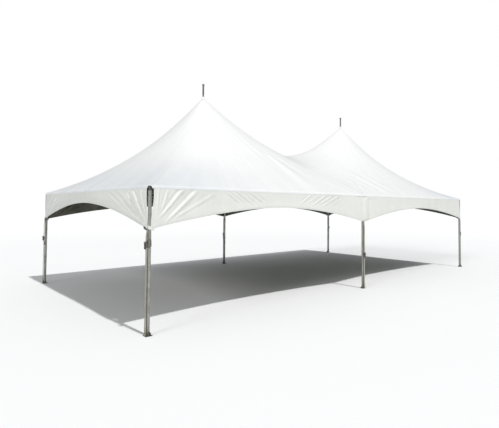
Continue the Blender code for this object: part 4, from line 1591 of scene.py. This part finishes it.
def fitting_stock(arms):
    """A cast head with a lipped arm for each rail, gussets and bolts. The cable eye is added by
    cable_eye.
    """
    low = SLEEVE_TOP_Z
    high = RAIL_Z + ARM_RADIUS - 0.002
    grip = LEG_RADIUS - 0.0002
    made = lathe([(0, low), (grip - 0.002, low), (grip, low + 0.002), (grip, low + 0.012),
                  (grip - 0.0012, low + 0.0135), (grip - 0.0012, high - 0.012),
                  (grip - 0.004, high - 0.004), (grip - 0.012, high), (0, high)], 40)
    heads = []
    for x, y in arms:
        way = Vector((x, y, 0))
        tube = lathe([(0, 0.0), (ARM_RADIUS - 0.0012, 0.0), (ARM_RADIUS - 0.0012, 0.143),
                      (ARM_RADIUS, 0.1445), (ARM_RADIUS, 0.1585), (ARM_RADIUS - 0.0015, ARM_REACH),
                      (0, ARM_REACH)], 32)
        made.join(tube, at(0, 0, RAIL_Z) @ turned_to(way))
        web = plate([(0.0, 0.0), (0.105, 0.0), (0.098, -0.012), (0.0, -0.060)], 0.006, 0.001)
        turn = Matrix.Rotation(math.atan2(y, x), 4, "Z")
        made.join(web, turn @ at(0.026, 0, RAIL_Z - 0.024)
                  @ Matrix.Rotation(math.radians(90), 4, "X"))
        inward = Vector((0, 1, 0)) if x else Vector((1, 0, 0))
        for reach in (0.085, 0.130):
            heads.append((way * reach + Vector((0, 0, RAIL_Z - ARM_RADIUS + 0.0005)), (0, 0, -1)))
        heads.append((way * 0.115 + Vector((0, 0, RAIL_Z)) + inward * (ARM_RADIUS - 0.0008),
                      tuple(inward)))
    made.join(bolts(heads, 0.0075, 0.006, 0.010, CAST_METAL))
    return made


def cable_eye(place, x, y):
    """A plate with a hole, welded to a fitting under the arms and facing a mast."""
    made = Stock()
    for mast_x in (-BAY / 2, BAY / 2):
        if abs(mast_x - x) > BAY:
            continue
        way = Vector((mast_x - x, -y, 0)).normalized()
        lug = plate([(0.0, -0.018), (0.016, -0.018), (0.030, -0.010), (0.034, 0.0),
                     (0.030, 0.010), (0.016, 0.018), (0.0, 0.018)], 0.006, 0.001)
        lug = bored(lug, [rod((0.022, 0, -0.01), (0.022, 0, 0.01), 0.006, 20)])
        turn = Matrix.Rotation(math.atan2(way.y, way.x), 4, "Z")
        spot = at(x, y, CABLE_EYE_Z) @ turn @ at(LEG_RADIUS - 0.003, 0, 0)
        made.join(lug, spot @ Matrix.Rotation(math.radians(90), 4, "X"))
    return made


def fittings():
    corner = fitting_stock([(1, 0), (0, 1)])
    tee = fitting_stock([(1, 0), (-1, 0), (0, 1)])
    for place, (x, y, turn) in LEG_PLACES.items():
        middle = place.endswith("middle")
        node = ("tee_fitting_" if middle else "corner_fitting_") + place
        spot = at(x, y, 0) @ Matrix.Rotation(math.radians(turn), 4, "Z")
        made = Stock().join(tee if middle else corner, spot)
        made.join(cable_eye(place, x, y))
        piece("casting_" + place, made, CAST_METAL, [node])
        piece("sleeve_" + place, Stock().join(sleeve_stock(), spot), TUBE_UPRIGHT)


def masts():
    """Mast pole with its cup, four cable eyes, the plate under the cloth and the spike."""
    low = CUP_Z - CUP_HEIGHT / 2
    high = CUP_Z + CUP_HEIGHT / 2
    shoulder = PEAK_Z - 0.0006
    tip = MAST_TIP_Z
    profile = [
        (0, low), (CUP_RADIUS - 0.012, low), (CUP_RADIUS - 0.004, low + 0.002),
        (CUP_RADIUS, low + 0.008), (CUP_RADIUS, low + 0.026), (CUP_RADIUS - 0.006, low + 0.031),
        (CUP_RADIUS - 0.006, high - 0.031), (CUP_RADIUS, high - 0.026), (CUP_RADIUS, high - 0.008),
        (CUP_RADIUS - 0.004, high - 0.002), (CUP_RADIUS - 0.012, high),
        (MAST_RADIUS + 0.004, high), (MAST_RADIUS + 0.002, high + 0.004), (MAST_RADIUS, high + 0.006),
        (MAST_RADIUS, 3.4), (MAST_RADIUS, 4.2), (MAST_RADIUS, shoulder - 0.040),
        (0.038, shoulder - 0.011), (0.040, shoulder - 0.009), (0.040, shoulder - 0.001),
        (0.039, shoulder), (SPIKE_RADIUS - 0.0006, shoulder), (SPIKE_RADIUS - 0.0006, tip - 0.058),
        (TIP_CAP_RADIUS - 0.003, tip - 0.0555), (TIP_CAP_RADIUS, tip - 0.052),
        (TIP_CAP_RADIUS, tip - 0.010), (TIP_CAP_RADIUS - 0.003, tip - 0.003),
        (TIP_CAP_RADIUS - 0.009, tip), (0, tip),
    ]
    for half, x in (("left", -BAY / 2), ("right", BAY / 2)):
        made = lathe(profile, 40)
        for turn in (45, 135, 225, 315):
            lug = plate([(0.0, -0.016), (0.014, -0.016), (0.026, -0.008), (0.028, 0.0),
                         (0.026, 0.008), (0.014, 0.016), (0.0, 0.016)], 0.006, 0.001)
            lug = bored(lug, [rod((0.017, 0, -0.01), (0.017, 0, 0.01), 0.0055, 20)])
            made.join(lug, Matrix.Rotation(math.radians(turn), 4, "Z")
                      @ at(CUP_RADIUS - 0.008, 0, CUP_Z)
                      @ Matrix.Rotation(math.radians(90), 4, "X"))
        spikes = Stock().join(made, at(x, 0, 0))
        piece("mast_pole_" + half, spikes, MAST_STEEL, ["mast_" + half])
        outer = [(0.0505, PEAK_Z + 0.0045), (0.040, PEAK_Z + 0.020), (0.0315, PEAK_Z + 0.045),
                 (0.0272, PEAK_Z + 0.075), (0.0266, PEAK_Z + 0.102)]
        inner = [(0.0252, PEAK_Z + 0.103), (0.0250, PEAK_Z + 0.075),
                 (0.0290, PEAK_Z + 0.046), (0.0375, PEAK_Z + 0.018)]
        boot = lathe([(0.050, PEAK_Z + 0.0015)] + outer + inner, 48, hollow=True)
        boot = piece("peak_boot_" + half, Stock().join(boot, at(x, 0, 0)), ROOF_VINYL)
        area = sum(math.pi * (a[0] + b[0]) * math.dist(a, b)
                   for a, b in zip(outer[:-1], outer[1:]))
        clamp = lathe([(0.0268, -0.006), (0.0281, -0.006), (0.0285, -0.005), (0.0285, 0.005),
                       (0.0281, 0.006), (0.0268, 0.006)], 40, hollow=True)
        clamp.join(bar((0.026, -0.007, -0.007), (0.034, 0.009, 0.007), 0.0012))
        clamp.join(bolts([((0.030, 0.009, 0), (0, 1, 0))], 0.0035, 0.004, 0.0045, CAST_METAL))
        clamp = piece("boot_clamp_" + half, Stock().join(clamp, at(x, 0, PEAK_Z + 0.090)),
                      CAST_METAL)
        declared(boot)


def cables():
    """Wire ropes with a thimble at the mast and a turnbuckle at the fitting."""
    for half, x, ends in (("left", -BAY / 2, (-HALF_LENGTH, 0.0)),
                          ("right", BAY / 2, (0.0, HALF_LENGTH))):
        for end in ends:
            for side, y in (("front", -HALF_WIDTH), ("back", HALF_WIDTH)):
                outer = "outer" if abs(end) > BAY / 2 else "middle"
                name = f"{half}_{side}_{outer}"
                start = Vector((x, 0, CUP_Z))
                finish = Vector((end, y, CABLE_EYE_Z))
                run = (finish - start).normalized()
                begin = start + run * 0.088
                stop = finish - run * 0.300
                rope = grown(bpy.data.meshes.new("rope"), WIRE_ROPE, {
                    "Length": (stop - begin).length, "Pitch": 0.085, "Strand Radius": 0.0017,
                    "Lay Radius": 0.0032, "Strands": 6, "Finish": WIRE_STEEL})
                rope.transform(at(*begin) @ turned_to(run))
                piece("wire_rope_" + name, rope, WIRE_STEEL,
                      ["cable_" + name], angle=60)
                aim = turned_to(run)
                gear = Stock()
                ferrule = lathe([(0, 0), (0.006, 0), (0.0078, 0.003), (0.0078, 0.036),
                                 (0.006, 0.040), (0, 0.040)], 16)
                gear.join(ferrule, at(*begin) @ aim)
                gear.join(ferrule, at(*(stop - run * 0.040)) @ aim)
                loop = [Vector((0.011 * math.sin(2 * math.pi * k / 20), 0,
                                -0.014 - 0.019 * math.cos(2 * math.pi * k / 20)))
                        for k in range(20)]
                link = sweep(loop, round_section(0.0034, 8), ups=[Vector((0, 1, 0))] * 20,
                             ring=True)
                gear.join(link, at(*begin) @ aim)
                gear.join(link, at(*stop) @ aim @ Matrix.Rotation(math.pi, 4, "X"))
                body = lathe([(0, 0.0), (0.0085, 0.0), (0.0105, 0.004), (0.0105, 0.020),
                              (0.0075, 0.026), (0, 0.026)], 12)
                base = at(*(stop + run * 0.055)) @ aim
                gear.join(body, base)
                gear.join(body, base @ at(0, 0, 0.150) @ Matrix.Rotation(math.pi, 4, "X"))
                for reach in (-0.0085, 0.0085):
                    gear.join(rod((reach, 0, 0.012), (reach, 0, 0.138), 0.0036, 8), base)
                gear.join(rod((0, 0, -0.036), (0, 0, 0.055), 0.0046, 10), base)
                gear.join(rod((0, 0, 0.095), (0, 0, 0.190), 0.0046, 10), base)
                hook = sweep([Vector((0.010 * math.sin(2 * math.pi * k / 18), 0,
                                      0.200 - 0.012 * math.cos(2 * math.pi * k / 18)))
                              for k in range(18)], round_section(0.0038, 8),
                             ups=[Vector((0, 1, 0))] * 18, ring=True)
                gear.join(hook, base)
                piece("turnbuckle_" + name, gear, WIRE_STEEL)


poles()
feet()
fittings()
masts()
cables()
for node, finish in (("eave_rail_front_left", TUBE_ALONG), ("eave_rail_front_right", TUBE_ALONG),
                     ("eave_rail_back_left", TUBE_ALONG), ("eave_rail_back_right", TUBE_ALONG),
                     ("eave_rail_left_end", TUBE_ACROSS), ("eave_rail_right_end", TUBE_ACROSS),
                     ("crossbar_middle", TUBE_ACROSS)):
    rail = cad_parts[node]
    for material_slot in rail.material_slots:
        material_slot.material = finish


# Straps and ratchets


STRAP_THICK = 0.0026
STRAP_TOP_Z = 1.80
STRAP_BEND_Z = 1.70
TAIL_WIDTH = 0.046
WOUND_TURNS = 3.25
WOUND_STEP = 0.0018
WOUND_FALL = 0.036


def path_length(path):
    return sum((b - a).length for a, b in zip(path[:-1], path[1:]))


def strap_stock(z, seed):
    """The webbing down one leg, outward on +X: sewn loop, run to the ratchet, turns on the drum,
    lower run.
    """
    rolls = random.Random(seed)
    on_cloth = CLOTH_OUT + 0.0008 + STRAP_THICK / 2
    section = band_section(STRAP_WIDTH, STRAP_THICK)
    drum_z = z + 0.025
    drum_x = STRAP_OUT + 0.0173
    upper = [(on_cloth, STRAP_TOP_Z), (on_cloth, 1.78), (on_cloth + 0.0004, 1.75),
             (on_cloth + 0.002, STRAP_BEND_Z), (STRAP_OUT - 0.004, 1.66),
             (STRAP_OUT, 1.62)]
    span = max(2, int((1.62 - drum_z) / 0.08))
    upper += [(STRAP_OUT + 0.0012 * math.sin(k * 1.3), 1.62 + (drum_z + 0.05 - 1.62) * k / span)
              for k in range(1, span + 1)]
    upper += [(drum_x - 0.013, drum_z + 0.012), (drum_x - 0.016, drum_z),
              (drum_x - 0.010, drum_z - 0.012)]

    lengths = []

    def laid(line, twist):
        path = [Vector((out, twist * math.sin(height * 5.0), height)) for out, height in line]
        lengths.append(path_length(path))
        return sweep(path, section, ups=[Vector((1, 0, 0))] * len(path))

    made = laid(upper, rolls.uniform(-0.0012, 0.0012))
    bottom = z - 0.048
    count = max(2, int(bottom / 0.08))
    lower = [(STRAP_OUT + 0.006, bottom - 0.004), (STRAP_OUT + 0.001, bottom - 0.030)]
    lower += [(STRAP_OUT + 0.0010 * math.sin(k * 1.7),
               bottom - 0.030 + (0.0115 - bottom + 0.030) * k / count)
              for k in range(1, count + 1)]
    made.join(laid(lower, rolls.uniform(-0.0012, 0.0012)))
    doubled = [(STRAP_OUT + STRAP_THICK + 0.0003, 0.150), (STRAP_OUT + STRAP_THICK, 0.10),
               (STRAP_OUT + STRAP_THICK, 0.06), (STRAP_OUT + STRAP_THICK, 0.0125)]
    made.join(laid(doubled, 0.0))
    turns = []
    for k in range(26):
        turn = 2 * math.pi * k / 12
        radius = 0.0105 + 0.0022 * k / 12
        turns.append((drum_x + radius * math.cos(turn), drum_z + radius * math.sin(turn)))
    path = [Vector((out, 0, height)) for out, height in turns]
    ups = [Vector((out - drum_x, 0, height - drum_z)) for out, height in turns]
    made.join(sweep(path, band_section(STRAP_WIDTH - 0.006, 0.0018), ups=ups))
    return made, sum(lengths) + path_length(path)


def tail_stock(z, reach, seed):
    """The loose end, out of the drum and down in front of the handle's side."""
    rolls = random.Random(seed)
    drum_z = z + 0.025
    drum_x = STRAP_OUT + 0.0173
    count = 14
    path = []
    ups = []
    for k in range(count + 1):
        share = k / count
        sway = 0.006 * math.sin(share * 5 + rolls.uniform(-0.1, 0.1))
        out = drum_x - 0.006 - 0.012 * smooth(share * 2.5) + sway * 0.4
        path.append(Vector((out, 0.004 + 0.020 * share + 0.3 * sway, drum_z - 0.012
                            - reach * share)))
        ups.append(Vector((1, 0.35 * share, 0)))
    return sweep(path, band_section(TAIL_WIDTH, 0.0022), ups=ups)


def wound_tail(z):
    """A long loose end wound round the leg, between it and the ratchet, each turn over the last."""
    first = LEG_RADIUS + 0.0018
    path = []
    ups = []
    steps = int(36 * WOUND_TURNS)
    for k in range(steps + 1):
        share = k / 36
        turn = 2 * math.pi * share
        radius = first + WOUND_STEP * share
        sway = 0.004 * math.sin(turn * 1.7)
        path.append(Vector((radius * math.cos(turn), radius * math.sin(turn),
                            z + 0.066 - WOUND_FALL * share + sway)))
        ups.append(Vector((math.cos(turn), math.sin(turn), 0)))
    return sweep(path, band_section(TAIL_WIDTH, WOUND_STEP - 0.0002), ups=ups)


def smooth(share):
    share = min(max(share, 0.0), 1.0)
    return share * share * (3 - 2 * share)


def wheel(radius, teeth, thickness):
    """A toothed wheel about Y: each tooth rises slowly and drops at once."""
    outline = []
    for k in range(teeth):
        turn = 2 * math.pi * k / teeth
        step = 2 * math.pi / teeth
        outline.append((radius * 0.80 * math.cos(turn), radius * 0.80 * math.sin(turn)))
        outline.append((radius * math.cos(turn + step * 0.78), radius * math.sin(turn + step * 0.78)))
    made = plate(outline, thickness)
    return Stock().join(made, Matrix.Rotation(math.radians(90), 4, "X"))


def ratchet_stock(z):
    """Frame, drum with its two wheels, pawl, handle folded down, and pins. Outward is +X."""
    drum_z = z + 0.025
    drum_x = STRAP_OUT + 0.0173
    made = Stock()
    cheek = []
    for k in range(9):
        turn = math.radians(-20 + 200 * k / 8)
        cheek.append((drum_x + 0.0165 * math.cos(turn), drum_z + 0.0165 * math.sin(turn)))
    cheek += [(STRAP_OUT - 0.0075, drum_z - 0.012), (STRAP_OUT - 0.0075, z - 0.052),
              (STRAP_OUT - 0.004, z - 0.055), (STRAP_OUT + 0.010, z - 0.055),
              (STRAP_OUT + 0.014, z - 0.050), (STRAP_OUT + 0.016, z - 0.030)]
    stand = Matrix.Rotation(math.radians(90), 4, "X")
    for y in (-0.0283, 0.0283):
        made.join(plate(cheek, 0.0022, 0.0004), at(0, y, 0) @ stand)
    back = bar((STRAP_OUT - 0.0085, -0.0275, z - 0.030), (STRAP_OUT - 0.0062, 0.0275, z + 0.004),
               0.0006)
    made.join(back)
    made.join(rod((STRAP_OUT + 0.005, -0.032, z - 0.046), (STRAP_OUT + 0.005, 0.032, z - 0.046),
                  0.0045, 16))
    for side in (-1, 1):
        made.join(lathe([(0, 0.0), (0.0095, 0.0), (0.0095, 0.004), (0.0075, 0.0062), (0, 0.0062)],
                        20), at(drum_x, side * 0.0292, drum_z)
                  @ turned_to((0, side, 0)))
        made.join(wheel(0.0185, 12, 0.0024), at(drum_x, side * 0.0252, drum_z))
        arm = []
        for k in range(9):
            turn = math.radians(10 + 160 * k / 8)
            arm.append((drum_x + 0.0150 * math.cos(turn), drum_z + 0.0150 * math.sin(turn)))
        arm += [(drum_x - 0.004, drum_z - 0.040), (drum_x - 0.002, drum_z - 0.090),
                (drum_x + 0.002, drum_z - 0.100), (drum_x + 0.010, drum_z - 0.100),
                (drum_x + 0.0115, drum_z - 0.094), (drum_x + 0.0115, drum_z - 0.030)]
        made.join(plate(arm, 0.0020, 0.0004), at(0, side * 0.0226, 0) @ stand)
        made.join(rod((drum_x, side * 0.006, drum_z), (drum_x, side * 0.029, drum_z), 0.0072, 16))
    made.join(bar((drum_x - 0.001, -0.0305, drum_z - 0.052), (drum_x + 0.0015, 0.0305,
                                                              drum_z - 0.034), 0.0006))
    made.join(bar((drum_x + 0.0095, -0.0226, drum_z - 0.095), (drum_x + 0.0115, 0.0226,
                                                               drum_z - 0.058), 0.0006))
    return made


def grip_stock(z):
    """The moulded hand grip at the handle's end, with finger ribs."""
    drum_z = z + 0.025
    drum_x = STRAP_OUT + 0.0173
    made = bar((drum_x - 0.003, -0.0245, drum_z - 0.108), (drum_x + 0.0125, 0.0245,
                                                           drum_z - 0.074), 0.004, 3)
    for k in range(4):
        low = drum_z - 0.104 + k * 0.0075
        made.join(bar((drum_x + 0.011, -0.021, low), (drum_x + 0.0137, 0.021, low + 0.0035),
                      0.001))
    return made


def box_stitch(spot, x, low, high, half=0.019):
    """A sewn box with its cross, on a webbing face at x."""
    a, b, c, d = ((x, -half, low), (x, half, low), (x, half, high), (x, -half, high))
    lines = [[a, b, c, d, a], [a, c], [b, d]]
    return [[spot @ Vector(p) for p in line] for line in lines]


def straps():
    lines = []
    on_cloth = CLOTH_OUT + 0.0008 + STRAP_THICK / 2
    for n, (place, (x, y, _)) in enumerate(LEG_PLACES.items()):
        z = RATCHET_Z[place]
        spot = at(x, y, 0) @ Matrix.Rotation(math.radians(OUTWARD[place]), 4, "Z")
        web, cut = strap_stock(z, 50 + n)
        web = piece("strap_web_" + place, Stock().join(web, spot), WEBBING,
                    ["leg_strap_" + place], angle=45)
        declared(web)
        reach = 0.26 if place == "front_middle" else 0.16 + 0.03 * (n % 3)
        wound = place == "front_left"
        tail = wound_tail(z) if wound else tail_stock(z, reach, 70 + n)
        made = piece("strap_tail_" + place, Stock().join(tail, spot),
                     TAIL_WEBBING if wound else WEBBING, angle=45)
        if wound:
            declared(made)
        else:
            declared(made)
        piece("ratchet_" + place, Stock().join(ratchet_stock(z), spot), RATCHET_STEEL)
        piece("ratchet_grip_" + place, Stock().join(grip_stock(z), spot), BLACK_PLASTIC)
        lines += box_stitch(spot, STRAP_OUT + 1.5 * STRAP_THICK + 0.0008, 0.075, 0.140)
        if place.endswith("middle"):
            lines += box_stitch(spot, on_cloth + 0.5 * STRAP_THICK + 0.0006, 1.742, 1.794)
    stitches("strap_stitches", lines, DARK_THREAD, 0.0048, 0.0040, 0.0011)


TAB_WIDTH = 0.056
CORNER_STEPS = 22


def on_corner(x, y, way, out, height):
    """A place beside a corner leg. way runs from the end valance, where it is below 0, round the
    leg to the long valance, and out is the distance from the leg's axis. Also gives the way out."""
    side_x = math.copysign(1, x)
    side_y = math.copysign(1, y)
    quarter = math.pi / 2 * out
    turn = min(max(way / quarter, 0.0), 1.0) * math.pi / 2
    facing = Vector((side_x * math.cos(turn), side_y * math.sin(turn), 0))
    past = max(way - quarter, 0.0)
    before = min(way, 0.0)
    return (Vector((x, y, height)) + facing * out
            - Vector((side_x * past, side_y * -before, 0)), facing)


def corner_run(x, y, points):
    """A path round a corner leg along (way, out, height) points, and the way out all along it."""
    path = []
    ups = []
    marks = [p[0] for p in points]
    for step in range(CORNER_STEPS + 1):
        way = marks[0] + (marks[-1] - marks[0]) * step / CORNER_STEPS
        out = float(np.interp(way, marks, [p[1] for p in points]))
        height = float(np.interp(way, marks, [p[2] for p in points]))
        place, facing = on_corner(x, y, way, out, height)
        path.append(place)
        ups.append(facing)
    return path, ups


def corner_tabs():
    """Where two valances meet at a leg, a vinyl tab slants round it over the strap's end, and a
    dark cam buckle with its web draws the end valance's corner down to the leg."""
    lines = []
    for place, (x, y, _) in LEG_PLACES.items():
        if place.endswith("middle"):
            continue
        over_strap = CLOTH_OUT + 0.0008 + STRAP_THICK + 0.0012
        on_long = CLOTH_OUT + 0.0012
        marks = [(-0.090, over_strap, 1.803), (0.0, over_strap, 1.783),
                 (0.062, on_long, 1.764), (0.128, on_long, 1.742)]
        path, ups = corner_run(x, y, marks)
        tab = sweep(path, band_section(TAB_WIDTH, 0.0016), ups=ups)
        name = "corner_tab_" + place
        made = piece(name, tab, VALANCE_VINYL)
        declared(made)
        for shift in (-0.021, 0.021):
            lines.append(corner_run(x, y, [(way, out + 0.0010, height + shift)
                                           for way, out, height in marks])[0])
        web_out = over_strap + 0.0022
        path, ups = corner_run(x, y, [(-0.205, web_out, 1.822), (-0.125, web_out, 1.786),
                                      (-0.012, web_out + 0.001, 1.734)])
        buckle = sweep(path, band_section(0.025, 0.0020), ups=ups)
        spot, facing = on_corner(x, y, -0.075, web_out + 0.003, 1.760)
        slope = math.atan2(0.052, 0.113)
        body = bar((-0.038, -0.016, -0.004), (0.038, 0.016, 0.005), 0.003, 3)
        body.join(bar((-0.034, -0.012, 0.002), (0.010, 0.012, 0.011), 0.0025, 3))
        body.join(rod((0.018, -0.019, 0.004), (0.018, 0.019, 0.004), 0.004, 12))
        along = Vector((0, -math.copysign(1, y), 0)) * math.cos(slope) + UP * math.sin(slope)
        across = facing.cross(along)
        aim = Matrix((along, across, facing)).transposed().to_4x4()
        buckle.join(body, at(*spot) @ aim)
        piece("corner_buckle_" + place, buckle, BLACK_PLASTIC)
    stitches("corner_tab_stitches", lines, THREAD, 0.0060, 0.0045, 0.0011)


straps()
corner_tabs()


# Floor, light and camera


FLOOR_SIZE = 300.0
FLOOR_CLEAR = 9.0
FLOOR_WHITE = 34.0
FLOOR_GLOW = 0.07


def pale_floor():
    """A matt floor that brightens with distance, so that it meets the white behind it."""
    finish = Finish("pale_floor")
    place = finish.add("ShaderNodeTexCoord").outputs["Object"]
    reach = finish.add("ShaderNodeVectorMath", {0: place}, operation="LENGTH").outputs["Value"]
    far = remap(finish.tree, reach, FLOOR_CLEAR, FLOOR_WHITE, smooth=True)
    return finish.set(
        base_color=(0.965, 0.967, 0.96, 1.0), roughness=0.9, emission_strength=FLOOR_GLOW,
        emission_color=blended(finish.tree, far, (0.0, 0.0, 0.0), (1.0, 1.0, 1.0))).material


def stage():
    corners = [(x * FLOOR_SIZE, y * FLOOR_SIZE, 0)
               for x, y in ((-1, -1), (1, -1), (1, 1), (-1, 1))]
    floor = bpy.data.objects.new("floor", Stock().add(corners, [[0, 1, 2, 3]]).mesh("floor"))
    bpy.context.scene.collection.objects.link(floor)
    floor.data.materials.append(pale_floor())

    world = bpy.data.worlds.new("studio")
    bpy.context.scene.world = world
    world.use_nodes = True
    back = world.node_tree.nodes["Background"]
    back.inputs["Color"].default_value = (0.92, 0.96, 1.0, 1.0)
    back.inputs["Strength"].default_value = 0.30
    seen = add_node(world.node_tree, "ShaderNodeBackground", {"Color": (1.0, 1.0, 1.0),
                                                              "Strength": 1.0})
    which = add_node(world.node_tree, "ShaderNodeMixShader", {
        0: add_node(world.node_tree, "ShaderNodeLightPath").outputs["Is Camera Ray"],
        1: back.outputs[0], 2: seen.outputs[0]})
    world.node_tree.links.new(which.outputs[0],
                              world.node_tree.nodes["World Output"].inputs["Surface"])
    for name, way, energy, spread in (("key", (-0.02, 0.58, -1.0), 2.15, 2.0),
                                      ("fill", (0.90, 0.25, -0.50), 1.00, 20.0)):
        lamp = bpy.data.lights.new(name, "SUN")
        lamp.energy = energy
        lamp.angle = math.radians(spread)
        holder = bpy.data.objects.new(name, lamp)
        bpy.context.scene.collection.objects.link(holder)
        holder.rotation_mode = "QUATERNION"
        holder.rotation_quaternion = Vector(way).to_track_quat("-Z", "Y")
    bpy.context.scene.view_settings.view_transform = "Standard"


CAMERA_PLACE = (-9.267, -9.367, 2.126)
CAMERA_HEADING = 42.35
CAMERA_TILT = 2.088
CAMERA_ROLL = 0.38
FOCAL_PIXELS = 410.16
OPTICAL_CENTRE = (265.25, 191.89)
IMAGE_SIZE = (499, 428)
SENSOR = 36.0


def camera():
    heading = math.radians(CAMERA_HEADING)
    tilt = math.radians(CAMERA_TILT)
    roll = math.radians(CAMERA_ROLL)
    ahead = Vector((math.sin(heading) * math.cos(tilt), math.cos(heading) * math.cos(tilt),
                    math.sin(tilt)))
    right = Vector((math.cos(heading), -math.sin(heading), 0))
    up = right.cross(ahead)
    across = right * math.cos(roll) + up * math.sin(roll)
    upward = up * math.cos(roll) - right * math.sin(roll)
    lens = bpy.data.cameras.new("camera")
    lens.sensor_width = SENSOR
    lens.lens = FOCAL_PIXELS / IMAGE_SIZE[0] * SENSOR
    lens.shift_x = (IMAGE_SIZE[0] / 2 - OPTICAL_CENTRE[0]) / IMAGE_SIZE[0]
    lens.shift_y = (OPTICAL_CENTRE[1] - IMAGE_SIZE[1] / 2) / IMAGE_SIZE[0]
    lens.clip_end = 1500.0
    eye = bpy.data.objects.new("camera", lens)
    bpy.context.scene.collection.objects.link(eye)
    eye.matrix_world = Matrix.Translation(CAMERA_PLACE) @ Matrix(
        (across, upward, -ahead)).transposed().to_4x4()
    bpy.context.scene.camera = eye


stage()
camera()
